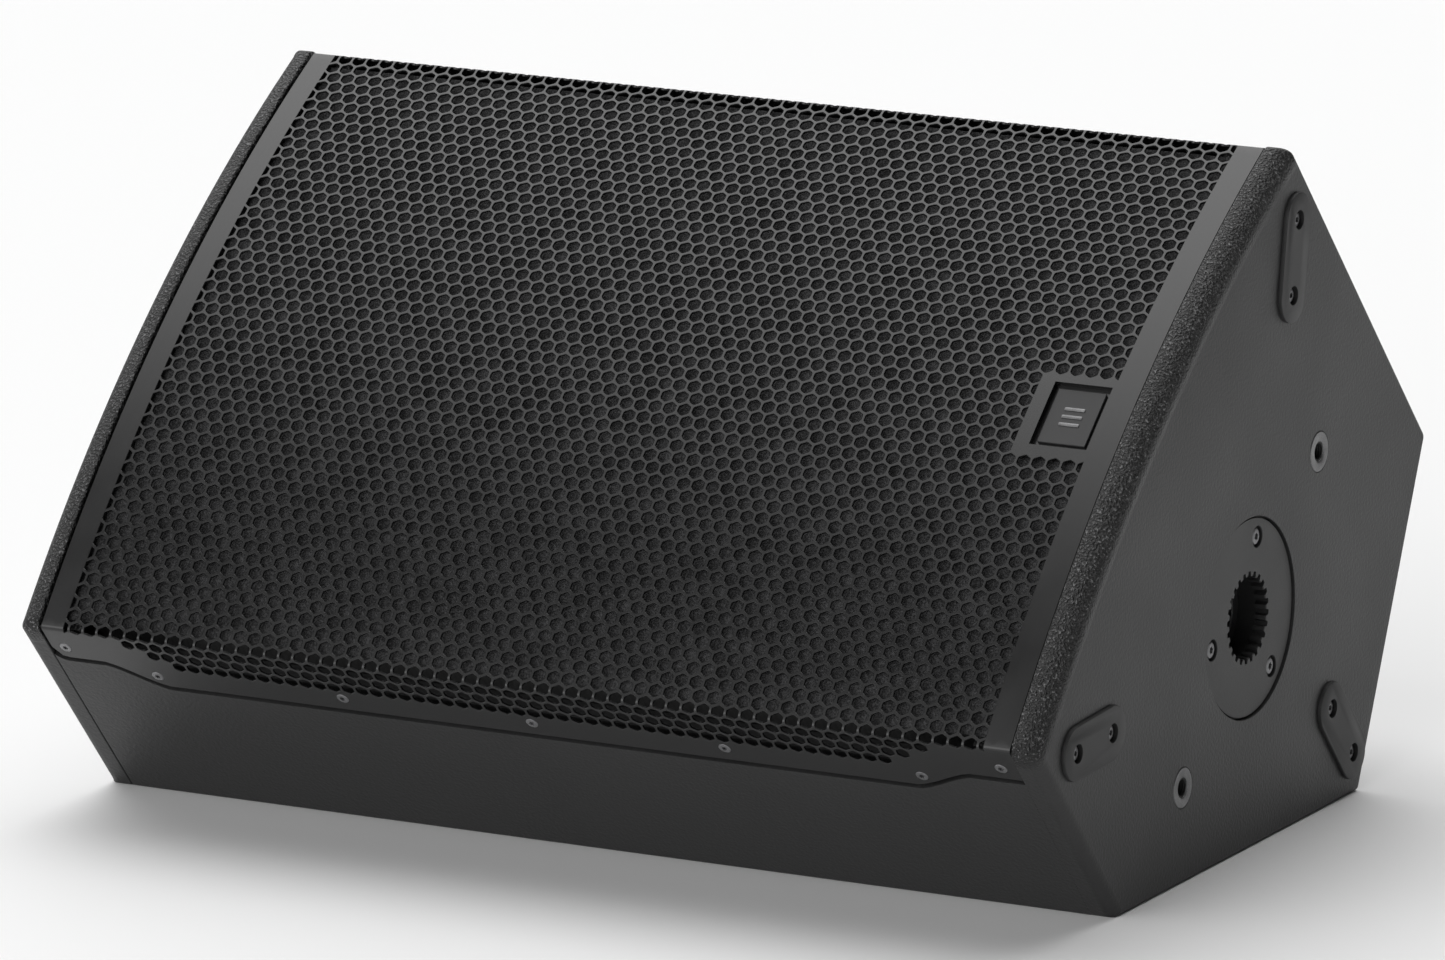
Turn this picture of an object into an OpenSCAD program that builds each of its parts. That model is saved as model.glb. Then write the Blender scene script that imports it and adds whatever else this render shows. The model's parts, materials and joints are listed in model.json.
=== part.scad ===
// Twelve-inch two-way stage monitor wedge, lying on its floor face.
// Millimetres, +Z up, the listener looks along +Y at the grille.
// The origin is the centre of the floor face.

/* [Cabinet] */
// Length of the cabinet over both end panels
body_w = 623; // [560:1:700]
// Depth of the floor face, front edge to back edge
floor_len = 298; // [280:1:320]
// Height of the lower front face, measured up its slope
front_len = 146.8; // [135:0.1:160]
// Angle of the lower front face above the floor, leaning out
front_angle = 130.45; // [128:0.05:133]
// Straight distance across the grille opening
face_chord = 404; // [390:1:420]
// Angle of the grille opening above the floor
face_angle = 41.36; // [39:0.01:44]
// Length of the upper rear face down its slope
rear_upper_len = 260.9; // [245:0.1:275]
// Angle of the upper rear face below the horizontal
rear_upper_angle = -48.37; // [-50:0.01:-46]
// How far the curved front rim rises above the straight opening
rim_rise = 20.25; // [15:0.25:25]
// Plywood thickness of the outer panels
panel_t = 15; // [12:0.5:18]
// Round-over of the front rim
rim_round = 13; // [8:0.5:14]
// Round-over of the lower front edges of the end panels
edge_round = 7; // [4:0.5:10]
// Plywood thickness of the baffle
baffle_t = 18; // [15:1:22]
// Distance of the baffle behind the straight opening
baffle_back = 16; // [14:0.5:20]

/* [Grille] */
// Steel thickness of the grille
grille_t = 1.2; // [1:0.1:1.5]
// Depth of the grille below the rim
grille_drop = 1.2; // [1:0.1:2]
// Gap between the grille and each end panel
grille_gap = 1.7; // [1.2:0.1:2.5]
// Lower edge of the flange in the middle, up the lower front face
flange_mid = 103; // [100:0.5:106]
// Lower edge of the flange at both ends
flange_end = 119; // [115:0.5:122]
// Foam thickness behind the grille
foam_t = 6; // [4:0.5:8]

/* [End fittings] */
// Pole cup centre behind the front edge of the floor face
cup_y = 160; // [155:0.5:165]
// Pole cup centre above the floor
cup_z = 128; // [124:0.5:132]
// Pole cup flange diameter
cup_flange_d = 109; // [105:0.5:112]
// Pole cup bore diameter, for a 35 mm stand pole
pole_bore_d = 36.5; // [36:0.1:37]
// Depth of the pole bore behind its mouth
pole_bore_len = 60; // [50:1:62]
// Rubber foot height
foot_h = 4.5; // [3:0.5:6]
// Rubber foot width
foot_w = 30; // [28:0.5:32]
// Distance between a foot's two screws
foot_pitch = 41; // [39:0.5:43]

/* [Woofer] */
// Woofer centre right of the cabinet's middle
woofer_x = 126; // [122:1:128]
// Woofer frame diameter
woofer_d = 312; // [308:1:314]
// Furthest travel of the cone each way
cone_travel = 5; // [3:0.5:6]
// Voice coil diameter
coil_d = 64; // [62:1:66]

/* [Horn and ports] */
// Horn centre left of the cabinet's middle
horn_x = -192; // [-194:1:-190]
// Horn flange side
horn_w = 188; // [180:1:190]
// Port centre left of the cabinet's middle
port_x = -80; // [-82:1:-78]
// Port centre from the middle of the opening, both ways
port_u = 142; // [140:1:144]
// Port bore diameter
port_d = 70; // [60:1:72]
// Port tube length
port_len = 110; // [90:1:115]

/* [Hidden] */
$fn = 96;
FINE = 360;
EPS = 0.01;
HALF_W = body_w / 2;
INNER_X = HALF_W - panel_t;

// ---- Cross-section -------------------------------------------------------
function along(angle) = [cos(angle), sin(angle)];
A = [-floor_len / 2, 0];
B = A + front_len * along(front_angle);
C = B + face_chord * along(face_angle);
D = C + rear_upper_len * along(rear_upper_angle);
E = [floor_len / 2, 0];
CORNERS = [A, B, C, D, E];
REAR_LEN = norm(D - E);
REAR_ANGLE = atan2(E[1] - D[1], E[0] - D[0]);
FACE_MID = (B + C) / 2;
RIM_R = (pow(face_chord / 2, 2) + rim_rise * rim_rise) / (2 * rim_rise);
RIM_DROP = RIM_R - rim_rise;
GRILLE_R = RIM_R - grille_drop;
FOAM_R = GRILLE_R - grille_t;

// Meeting point of two lines, each a point and a direction.
function meet(p, v, q, w) = p + v * (((q - p)[0] * w[1] - (q - p)[1] * w[0]) / (v[0] * w[1] - v[1] * w[0]));
function unit(v) = v / norm(v);
function inward(v) = [v[1], -v[0]];
// Corner i of the cross-section, with its two faces moved inward by s.
function inset(i, s) = let (
    p = CORNERS[(i + 4) % 5], q = CORNERS[i], r = CORNERS[(i + 1) % 5],
    v = unit(q - p), w = unit(r - q)
) meet(q + s * inward(v), v, q + s * inward(w), w);
// Corner q between p and r, rounded with radius r_c.
function rounded(p, q, r, r_c, steps = 8) = let (
    v = unit(p - q), w = unit(r - q),
    half = acos(v * w) / 2,
    cut = r_c / tan(half),
    centre = q + unit(v + w) * (r_c / sin(half)),
    a0 = atan2((q + v * cut - centre)[1], (q + v * cut - centre)[0]),
    turn = 180 - 2 * half
) [for (i = [0 : steps]) centre + r_c * along(a0 - turn * i / steps)];

// A cross-section outline extruded between two places along the cabinet.
module section(points, x0, x1) {
    translate([x0, 0, 0]) rotate([90, 0, 90]) linear_extrude(x1 - x0) polygon(points);
}
// Local frames: x along the cabinet, y up the face, z out of the face.
module on_face() {
    translate([0, FACE_MID[0], FACE_MID[1]]) rotate([face_angle, 0, 0]) children();
}
module on_front() {
    translate([0, A[0], A[1]]) rotate([front_angle, 0, 0]) children();
}
module on_upper_rear() {
    translate([0, C[0], C[1]]) rotate([rear_upper_angle, 0, 0]) children();
}
module on_rear() {
    translate([0, D[0], D[1]]) rotate([REAR_ANGLE, 0, 0]) children();
}
// The right end: x is depth from the floor face's front edge, y is height, z is outward.
module on_right(y = 0, z = 0) {
    translate([HALF_W, A[0] + y, z]) rotate([90, 0, 90]) children();
}
module on_left(y = 0, z = 0) {
    mirror([1, 0, 0]) on_right(y, z) children();
}
module both_ends() {
    children();
    mirror([1, 0, 0]) children();
}

// ---- Fasteners -----------------------------------------------------------
module countersunk(head_d, shank_d, length) {
    difference() {
        union() {
            translate([0, 0, -head_d * 0.3]) cylinder(h = head_d * 0.3, d1 = shank_d, d2 = head_d, $fn = 32);
            translate([0, 0, -length]) cylinder(h = length - head_d * 0.3 + EPS, d = shank_d, $fn = 32);
        }
        cross_slot(head_d * 0.6, head_d * 0.2);
    }
}
module pan_screw(head_d, head_h, shank_d, length) {
    difference() {
        union() {
            cylinder(h = head_h, d1 = head_d, d2 = head_d * 0.8, $fn = 32);
            translate([0, 0, -length]) cylinder(h = length + EPS, d = shank_d, $fn = 32);
        }
        translate([0, 0, head_h]) cross_slot(head_d * 0.6, head_h * 0.5);
    }
}
module cross_slot(width, depth) {
    for (turn = [0, 90]) {
        rotate([0, 0, turn]) cube([width, width * 0.25, depth * 2], center = true);
    }
}

// ---- Cabinet -------------------------------------------------------------
// The solid behind the curved front rim: everything within its radius.
module rim_cylinder() {
    on_face() translate([INNER_X - 1, 0, -RIM_DROP]) rotate([0, 90, 0])
        cylinder(h = panel_t + 2, r = RIM_R, $fn = FINE * 2);
}
// The corner that a round-over of radius r takes off, as a flat outline.
module corner_waste(r) {
    difference() {
        square(r + 4);
        circle(r = r, $fn = 64);
    }
}
module rim_waste() {
    on_face() translate([HALF_W - rim_round, 0, -RIM_DROP]) rotate([0, 90, 0])
        rotate_extrude($fn = FINE * 2) translate([RIM_R - rim_round, 0]) corner_waste(rim_round);
}
module front_edge_waste() {
    reach = 400;
    on_front() translate([HALF_W - edge_round, -reach / 2, -edge_round])
        rotate([-90, 0, 0]) linear_extrude(reach) mirror([0, 1]) corner_waste(edge_round);
}
// The outline of an end panel, run past the curved rim, which cuts it.
OUTLINE_RUN = 6;
function end_outline() = let (
    b = B + unit(B - A) * OUTLINE_RUN, c = C + unit(C - D) * OUTLINE_RUN,
    peak = FACE_MID + (rim_rise + 10) * along(face_angle + 90)
) concat([A, b, peak], rounded(peak, c, D, 9), rounded(C, D, E, 4), rounded(D, E, A, 4));
module end_blank() {
    difference() {
        intersection() {
            section(end_outline(), INNER_X, HALF_W);
            rim_cylinder();
        }
        rim_waste();
        front_edge_waste();
    }
}
INSERT_SITES = [[78.7, 52.9], [244.8, 202.3]];
FOOT_SITES = [[215.2, 316.4, 80.3], [-24.5, 102.3, 2.5], [276.3, 40, -49]];
CUP_BODY_D = 74;
CUP_RECESS = 4;
module cup_opening() {
    on_right(cup_y, cup_z) {
        translate([0, 0, -CUP_RECESS]) cylinder(h = CUP_RECESS + 1, d = cup_flange_d + 2);
        translate([0, 0, -panel_t - 1]) cylinder(h = panel_t + 2, d = CUP_BODY_D + 1);
    }
}
INSERT_BODY_D = 16;
INSERT_FLANGE_D = 22.5;
module insert_openings() {
    for (site = INSERT_SITES) on_right(site[0], site[1]) {
        translate([0, 0, -panel_t - 1]) cylinder(h = panel_t + 2, d = INSERT_BODY_D);
        translate([0, 0, -1.2]) cylinder(h = 2, d = INSERT_FLANGE_D);
    }
}
module foot_screw_sites() {
    for (site = FOOT_SITES) on_right(site[0], site[1]) rotate([0, 0, site[2]])
        for (side = [-1, 1]) translate([side * foot_pitch / 2, 0, 0]) children();
}
module right_end_panel() {
    color("#3a3a3a") difference() {
        end_blank();
        cup_opening();
        insert_openings();
        foot_screw_sites() translate([0, 0, -13]) cylinder(h = 14, d = 3.4, $fn = 24);
        on_right(cup_y, cup_z) cup_screw_sites() translate([0, 0, -14]) cylinder(h = 12, d = 3.6, $fn = 24);
    }
}
module left_end_panel() {
    color("#3a3a3a") mirror([1, 0, 0]) difference() {
        end_blank();
        insert_openings();
        on_right(handle_y, handle_z) {
            translate([0, 0, -panel_t / 2]) cube([HANDLE_L, HANDLE_H, panel_t * 2], center = true);
            translate([0, 0, 0]) cube([HANDLE_L + 26.6, HANDLE_H + 26.6, 2 * HANDLE_LIP], center = true);
            handle_screw_sites() translate([0, 0, -13]) cylinder(h = 12, d = 3.2, $fn = 24);
        }
    }
}

FLANGE_CURVE = [232, 262];
FLANGE_BEND = 12;
// The lower edge of a grille flange at place x, an S between two levels.
function ease(t) = t * t * (3 - 2 * t);
function flange_edge(x, shift) = let (
    t = (abs(x) - FLANGE_CURVE[0]) / (FLANGE_CURVE[1] - FLANGE_CURVE[0])
) flange_mid - shift + (flange_end - flange_mid) * ease(min(1, max(0, t)));
function flange_outline(half, top, shift) = let (
    steps = FLANGE_BEND,
    span = FLANGE_CURVE[1] - FLANGE_CURVE[0],
    xs = concat(
        [-half], [for (i = [0 : steps]) -FLANGE_CURVE[1] + span * i / steps],
        [for (i = [0 : steps]) FLANGE_CURVE[0] + span * i / steps], [half]
    )
) concat([for (x = xs) [x, flange_edge(x, shift)]], [[half, top], [-half, top]]);
FLANGE_POCKET = 2;
FLANGE_SINK = 0.3;
SHADOW_GAP = 2;
GRILLE_X = INNER_X - grille_gap;
PANEL_TOP = front_len - 6;
module flange_pocket(face_len) {
    translate([0, 0, -FLANGE_POCKET]) linear_extrude(FLANGE_POCKET + 1)
        polygon(flange_outline(INNER_X + 1, face_len + 20, SHADOW_GAP));
}
SCREW_XS = [-286, -234, -117, 0, 117, 234, 286];
function screw_up(x) = (abs(x) > 260) ? 128.7 : ((abs(x) > 200) ? 112.2 : 114);
module grille_screw_sites() {
    for (x = SCREW_XS) translate([x, screw_up(x), 0]) children();
}
GRILLE_SCREW_LEN = 13;
// The hole for a grille screw, with room at its top for the tip of the head's cone.
module grille_screw_holes() {
    grille_screw_sites() {
        translate([0, 0, -GRILLE_SCREW_LEN - 1]) cylinder(h = GRILLE_SCREW_LEN + 2, d = 2.6, $fn = 24);
        translate([0, 0, -FLANGE_POCKET - 1]) cylinder(h = 2, d = 4, $fn = 24);
    }
}
// The upper flange mirrors the lower one about the middle of the opening.
module on_upper_flange() {
    on_upper_rear() translate([0, front_len, 0]) mirror([0, 1, 0]) children();
}
module lower_front_panel() {
    cut = A + PANEL_TOP * along(front_angle);
    inner_cut = cut + panel_t * inward(along(front_angle));
    color("#2c2c2c") difference() {
        section([A, cut, inner_cut, inset(0, panel_t)], -INNER_X, INNER_X);
        on_front() flange_pocket(front_len);
        on_front() grille_screw_holes();
    }
}
module floor_panel() {
    color("#2c2c2c") section([A, inset(0, panel_t), inset(4, panel_t), E], -INNER_X, INNER_X);
}
module upper_rear_panel() {
    cut = C + 6 * along(rear_upper_angle);
    inner_cut = cut + panel_t * inward(along(rear_upper_angle));
    color("#2c2c2c") difference() {
        section([cut, D, inset(3, panel_t), inner_cut], -INNER_X, INNER_X);
        on_upper_flange() flange_pocket(front_len);
        on_upper_flange() grille_screw_holes();
    }
}
PLATE_W = 170;
PLATE_H = 110;
PLATE_X = 62;
PLATE_DOWN = 96;
PLATE_DEPTH = 34;
PLATE_WALL = 3;
module on_plate() {
    on_rear() translate([PLATE_X, PLATE_DOWN, 0]) children();
}
module rear_panel() {
    color("#2c2c2c") difference() {
        section([D, E, inset(4, panel_t), inset(3, panel_t)], -INNER_X, INNER_X);
        on_plate() cube([PLATE_W - 24, PLATE_H - 24, 3 * panel_t], center = true);
        on_plate() plate_screw_sites() translate([0, 0, -12]) cylinder(h = 13, d = 2.6, $fn = 24);
    }
}

module woofer_frame_at() {
    on_face() translate([woofer_x, 0, -baffle_back]) children();
}
module horn_frame_at() {
    on_face() translate([horn_x, 0, -baffle_back]) children();
}
module port_sites() {
    for (side = [-1, 1]) on_face() translate([port_x, side * port_u, -baffle_back]) children();
}
WOOFER_CUT_D = 280;
HORN_CUT = horn_w - 24;
PORT_WALL = 3;
module baffle() {
    half = face_chord / 2 - panel_t - 0.5;
    color("#1c1c1c") difference() {
        on_face() translate([-INNER_X, -half, -baffle_back - baffle_t]) cube([2 * INNER_X, 2 * half, baffle_t]);
        woofer_frame_at() translate([0, 0, -2 * baffle_t]) cylinder(h = 3 * baffle_t, d = WOOFER_CUT_D);
        horn_frame_at() cube([HORN_CUT, HORN_CUT, 3 * baffle_t], center = true);
        port_sites() translate([0, 0, -2 * baffle_t]) cylinder(h = 3 * baffle_t, d = port_d + 2 * PORT_WALL);
        woofer_frame_at() woofer_screw_sites() translate([0, 0, -15]) cylinder(h = 20, d = 4, $fn = 24);
        horn_frame_at() horn_screw_sites() translate([0, 0, -14]) cylinder(h = 20, d = 3, $fn = 24);
    }
}
CLEAT = 20;
// Each end has a lower and an upper cleat, which leave room for the handle between them.
CLEAT_SPANS = [[-160, -36], [28, 160]];
module baffle_cleats() {
    color("#8a6a42") on_face() for (side = [-1, 1]) for (span = CLEAT_SPANS)
        translate([side * (INNER_X - CLEAT / 2), (span[0] + span[1]) / 2, -baffle_back - baffle_t - CLEAT / 2])
            cube([CLEAT, span[1] - span[0], CLEAT], center = true);
}
BRACE_X = -32;
BRACE_T = 12;
module centre_brace() {
    skin = panel_t;
    front = -baffle_back - baffle_t;
    lip = 28;
    color("#8a6a42") difference() {
        intersection() {
            section([for (i = [0 : 4]) inset(i, skin)], BRACE_X - BRACE_T / 2, BRACE_X + BRACE_T / 2);
            on_face() translate([-200, -300, front - 600]) cube([400, 600, 600]);
        }
        intersection() {
            section([for (i = [0 : 4]) inset(i, skin + lip)], BRACE_X - BRACE_T, BRACE_X + BRACE_T);
            on_face() translate([-200, -300, front - lip - 600]) cube([400, 600, 600]);
        }
    }
}

// ---- Grille --------------------------------------------------------------
// A stretch of curved shell across the opening, from one radius down to another.
module curved_shell(r_out, r_in, half_x, half_u) {
    on_face() intersection() {
        translate([0, 0, -RIM_DROP]) rotate([0, 90, 0]) difference() {
            translate([0, 0, -half_x]) cylinder(h = 2 * half_x, r = r_out, $fn = FINE * 2);
            translate([0, 0, -half_x - 1]) cylinder(h = 2 * half_x + 2, r = r_in, $fn = FINE * 2);
        }
        translate([-half_x - 1, -half_u, -40]) cube([2 * half_x + 2, 2 * half_u, 80]);
    }
}
ARC_STEPS = 40;
GRILLE_HALF = face_chord / 2 - 0.4;
// Points across the opening on an arc of radius r, between two distances from its middle.
function arc_across(r, u0, u1) = [for (i = [0 : ARC_STEPS]) let (u = u0 + (u1 - u0) * i / ARC_STEPS)
    FACE_MID + u * along(face_angle) + (sqrt(r * r - u * u) - RIM_DROP) * along(face_angle + 90)];
// A point on a face, that far from its first corner and that deep under its surface.
function under_face(corner, angle, distance, depth) =
    corner + distance * along(angle) + depth * inward(along(angle));
function grille_profile() = let (
    tail = flange_mid - 2,
    back = front_len - tail,
    skin = FLANGE_SINK + grille_t
) concat(
    [under_face(A, front_angle, tail, FLANGE_SINK)],
    arc_across(GRILLE_R, -GRILLE_HALF, GRILLE_HALF),
    [under_face(C, rear_upper_angle, back, FLANGE_SINK), under_face(C, rear_upper_angle, back, skin)],
    arc_across(FOAM_R, GRILLE_HALF - grille_t, -GRILLE_HALF + grille_t),
    [under_face(A, front_angle, tail, skin)]
);
// What the S-shaped lower edge cuts off the flange.
module flange_waste() {
    edge = flange_outline(GRILLE_X + 2, front_len, 0);
    count = len(edge) - 2;
    translate([0, 0, -6]) linear_extrude(8) polygon(concat(
        [for (i = [0 : count - 1]) edge[i]],
        [[GRILLE_X + 2, flange_mid - 8], [-GRILLE_X - 2, flange_mid - 8]]
    ));
}
module flange_cuts() {
    flange_waste();
    grille_screw_sites() translate([0, 0, -4]) cylinder(h = 6, d = 8, $fn = 32);
}
module grille() {
    color("#202020") difference() {
        section(grille_profile(), -GRILLE_X, GRILLE_X);
        on_front() flange_cuts();
        on_upper_flange() flange_cuts();
    }
}
module grille_foam() {
    color("#141414") curved_shell(FOAM_R - 0.1, FOAM_R - foam_t, GRILLE_X - 2, face_chord / 2 - 17);
}
module grille_screws() {
    color("#4a4a4a") {
        on_front() grille_screw_sites() translate([0, 0, -FLANGE_SINK - 0.1]) countersunk(7, 2.4, GRILLE_SCREW_LEN);
        on_upper_flange() grille_screw_sites() translate([0, 0, -FLANGE_SINK - 0.1]) countersunk(7, 2.4, GRILLE_SCREW_LEN);
    }
}
BADGE = [264.5, -2];
BADGE_W = 26;
BADGE_L = 33;
module badge_plate() {
    lift = RIM_R - grille_drop - RIM_DROP + 0.2;
    color("#3c3c3c") on_face() translate([BADGE[0], BADGE[1], lift]) difference() {
        hull() {
            cube([BADGE_W, BADGE_L, 0.4], center = true);
            translate([0, 0, 1]) cube([BADGE_W - 2, BADGE_L - 2, 0.4], center = true);
        }
        translate([0, 0, 1.2]) cube([BADGE_W - 5, BADGE_L - 5, 0.8], center = true);
    }
}

// ---- End fittings --------------------------------------------------------
CUP_SCREW_R = 44;
CUP_SCREW_ANGLES = [75, 191, 311];
CUP_FLANGE_T = 3.6;
CUP_MOUTH_D = 49;
CUP_MOUTH_LEN = 17;
CUP_TEETH = 24;
module cup_screw_sites() {
    for (turn = CUP_SCREW_ANGLES) rotate([0, 0, turn]) translate([CUP_SCREW_R, 0, 0]) children();
}
module pole_cup() {
    body_len = CUP_MOUTH_LEN + pole_bore_len + 3;
    color("#3a3a3a") on_right(cup_y, cup_z) difference() {
        union() {
            translate([0, 0, -CUP_RECESS]) cylinder(h = CUP_FLANGE_T, d = cup_flange_d);
            translate([0, 0, -body_len]) cylinder(h = body_len - 1, d = pole_bore_d + 7);
            translate([0, 0, -CUP_MOUTH_LEN - 3]) cylinder(h = CUP_MOUTH_LEN, d = CUP_BODY_D);
        }
        translate([0, 0, -CUP_MOUTH_LEN]) cylinder(h = CUP_MOUTH_LEN + 1, d = CUP_MOUTH_D);
        translate([0, 0, -CUP_MOUTH_LEN - pole_bore_len]) cylinder(h = pole_bore_len + 1, d = pole_bore_d);
        cup_screw_sites() translate([0, 0, -6]) cylinder(h = 8, d = 5, $fn = 32);
        cup_screw_sites() translate([0, 0, -2.6]) cylinder(h = 4, d = 11, $fn = 32);
    }
    color("#303030") on_right(cup_y, cup_z) for (i = [1 : CUP_TEETH])
        rotate([0, 0, i * 360 / CUP_TEETH]) translate([CUP_MOUTH_D / 2 - 2, -1.2, -CUP_MOUTH_LEN])
            cube([2.4, 2.4, CUP_MOUTH_LEN - 2.5]);
}
module pole_cup_screws() {
    color("#5a5a5a") on_right(cup_y, cup_z) cup_screw_sites() translate([0, 0, -2.6]) pan_screw(9, 2, 3.4, 11);
}
INSERT_BORE_D = 10;
INSERT_LEN = 18;
module rigging_insert() {
    difference() {
        union() {
            translate([0, 0, -1.2]) cylinder(h = 1.4, d = INSERT_FLANGE_D - 0.4);
            translate([0, 0, -INSERT_LEN]) cylinder(h = INSERT_LEN, d = INSERT_BODY_D - 0.4);
        }
        translate([0, 0, -INSERT_LEN - 1]) cylinder(h = INSERT_LEN + 2, d = INSERT_BORE_D);
    }
}
module rigging_inserts() {
    color("#8a8a8a") both_ends() for (site = INSERT_SITES) on_right(site[0], site[1]) rigging_insert();
}
module end_foot() {
    difference() {
        hull() for (side = [-1, 1]) translate([side * foot_pitch / 2, 0, 0]) {
            cylinder(h = foot_h - 1.2, d = foot_w, $fn = 48);
            cylinder(h = foot_h, d = foot_w - 3, $fn = 48);
        }
        for (side = [-1, 1]) translate([side * foot_pitch / 2, 0, 0]) {
            translate([0, 0, -1]) cylinder(h = foot_h + 2, d = 4);
            translate([0, 0, 1.6]) cylinder(h = foot_h, d = 9.5);
        }
    }
}
module end_feet() {
    color("#303030") for (site = FOOT_SITES) on_right(site[0], site[1]) rotate([0, 0, site[2]]) end_foot();
}
module end_foot_screws() {
    color("#5a5a5a") foot_screw_sites() translate([0, 0, 1.6]) pan_screw(7.6, 2, 3.2, 13);
}

// ---- Woofer --------------------------------------------------------------
FRAME_T = 6;
GASKET_T = 1.5;
CONE_TOP_D = 250;
CONE_NECK_D = coil_d + 1;
CONE_DEPTH = 62;
SURROUND_OUT_D = 282;
CAP_D = 96;
SPIDER_Z = -66;
BASKET_END = -84;
SPIDER_LEDGE = SPIDER_Z - GASKET_T - 0.05;
SPIDER_RIM = coil_d / 2 + 31.2;
module woofer_screw_sites() {
    for (i = [0 : 7]) rotate([0, 0, 22.5 + i * 45]) translate([148, 0, 0]) children();
}
module woofer_basket() {
    color("#26282b") woofer_frame_at() translate([0, 0, GASKET_T]) difference() {
        union() {
            rotate_extrude() polygon([[136, 0], [woofer_d / 2, 0], [woofer_d / 2, FRAME_T - 1],
                                      [woofer_d / 2 - 1, FRAME_T], [136, FRAME_T]]);
            rotate_extrude() polygon([[136, 0.5], [139.4, 0.5], [139.4, -20], [80, BASKET_END],
                                      [40, BASKET_END], [40, BASKET_END + 4], [77, BASKET_END + 4],
                                      [135, -17]]);
            rotate_extrude() polygon([[SPIDER_RIM + 0.4, BASKET_END + 3], [67, BASKET_END + 3],
                                      [67, SPIDER_LEDGE], [SPIDER_RIM + 0.4, SPIDER_LEDGE]]);
        }
        for (i = [0 : 5]) rotate([0, 0, i * 60]) translate([126, 0, -44]) cube([110, 66, 50], center = true);
        woofer_screw_sites() translate([0, 0, -1]) cylinder(h = 10, d = 5.5, $fn = 32);
    }
}
module woofer_gasket() {
    color("#151515") woofer_frame_at() difference() {
        cylinder(h = GASKET_T, d = woofer_d);
        translate([0, 0, -1]) cylinder(h = GASKET_T + 2, d = WOOFER_CUT_D + 2);
        woofer_screw_sites() translate([0, 0, -1]) cylinder(h = 10, d = 5.5, $fn = 32);
    }
}
CONE_Z = 2;
module surround_ring() {
    mid = (CONE_TOP_D + SURROUND_OUT_D) / 4 - 1;
    difference() {
        union() {
            translate([mid, 0]) circle(r = 7.4, $fn = 64);
            translate([SURROUND_OUT_D / 2 - 13, 0]) square([8, 0.9]);
        }
        translate([mid, 0]) circle(r = 6.6, $fn = 64);
        translate([mid - 20, -20]) square([40, 20]);
    }
}
module woofer_surround() {
    color("#1b1b1b") woofer_frame_at() translate([0, 0, GASKET_T + FRAME_T + 0.1]) rotate_extrude() surround_ring();
}
module woofer_cone() {
    top = GASKET_T + FRAME_T - 0.2;
    low = top - CONE_DEPTH;
    r0 = CONE_NECK_D / 2 + 0.4;
    r1 = CONE_TOP_D / 2 - 1;
    color("#1e1e1e") woofer_frame_at() rotate_extrude()
        polygon([[r0, low], [r0 + 1.2, low], [r1 - 6, top - 1.2], [r1, top - 1.2], [r1, top],
                 [r1 - 7, top], [r0, low + 1.2]]);
}
module woofer_dust_cap() {
    r = CAP_D / 2;
    base = GASKET_T + FRAME_T - 0.2 - CONE_DEPTH * (1 - (r - coil_d / 2) / (CONE_TOP_D / 2 - coil_d / 2)) + 1.5;
    color("#161616") woofer_frame_at() translate([0, 0, base]) rotate_extrude() intersection() {
        translate([0, -56]) difference() {
            circle(r = 74.2, $fn = 128);
            circle(r = 73.4, $fn = 128);
        }
        square([r, 40]);
    }
}
// A corrugated ring with a flat rim that lies on the basket's ledge.
module woofer_spider() {
    folds = 24;
    function wave(i, lift) = [coil_d / 2 + 1.2 + i * 1.25, SPIDER_Z + lift + 1.6 * sin(i * 75)];
    color("#b08a4a") woofer_frame_at() rotate_extrude() polygon(concat(
        [for (i = [0 : folds]) wave(i, 0)],
        [[SPIDER_RIM + 3, SPIDER_Z], [SPIDER_RIM + 3, SPIDER_Z + 0.7]],
        [for (i = [folds : -1 : 0]) wave(i, 0.7)]
    ));
}
PLATE_GAP_OUT = coil_d / 2 + 1.6;
POLE_R = coil_d / 2 - 1.1;
module voice_coil() {
    top = GASKET_T + FRAME_T - CONE_DEPTH + 1;
    color("#b87333") woofer_frame_at() rotate_extrude()
        polygon([[coil_d / 2 - 0.3, top], [coil_d / 2 + 0.1, top], [coil_d / 2 + 0.1, -84],
                 [coil_d / 2 + 0.7, -84], [coil_d / 2 + 0.7, -100], [coil_d / 2 - 0.3, -100]]);
}
PLATE_TOP_Z = GASKET_T + BASKET_END;
TOP_PLATE_T = 8;
MAGNET_T = 20;
BACK_PLATE_T = 8;
module ring(r_out, r_in, z0, z1) {
    translate([0, 0, z0]) difference() {
        cylinder(h = z1 - z0, r = r_out);
        translate([0, 0, -1]) cylinder(h = z1 - z0 + 2, r = r_in);
    }
}
module magnet_top_plate() {
    color("#77797c") woofer_frame_at() ring(72, PLATE_GAP_OUT, PLATE_TOP_Z - TOP_PLATE_T, PLATE_TOP_Z);
}
module magnet_ring() {
    color("#2b2b2d") woofer_frame_at()
        ring(78, 42, PLATE_TOP_Z - TOP_PLATE_T - MAGNET_T, PLATE_TOP_Z - TOP_PLATE_T);
}
module magnet_back_plate() {
    base = PLATE_TOP_Z - TOP_PLATE_T - MAGNET_T - BACK_PLATE_T;
    color("#77797c") woofer_frame_at() {
        ring(72, 12, base, base + BACK_PLATE_T);
        ring(POLE_R, 12, base + BACK_PLATE_T - EPS, PLATE_TOP_Z + 1);
    }
}
module woofer_screws() {
    color("#55585c") woofer_frame_at() woofer_screw_sites() translate([0, 0, GASKET_T + FRAME_T])
        pan_screw(10, 3, 3.9, GASKET_T + FRAME_T + 14);
}

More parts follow.
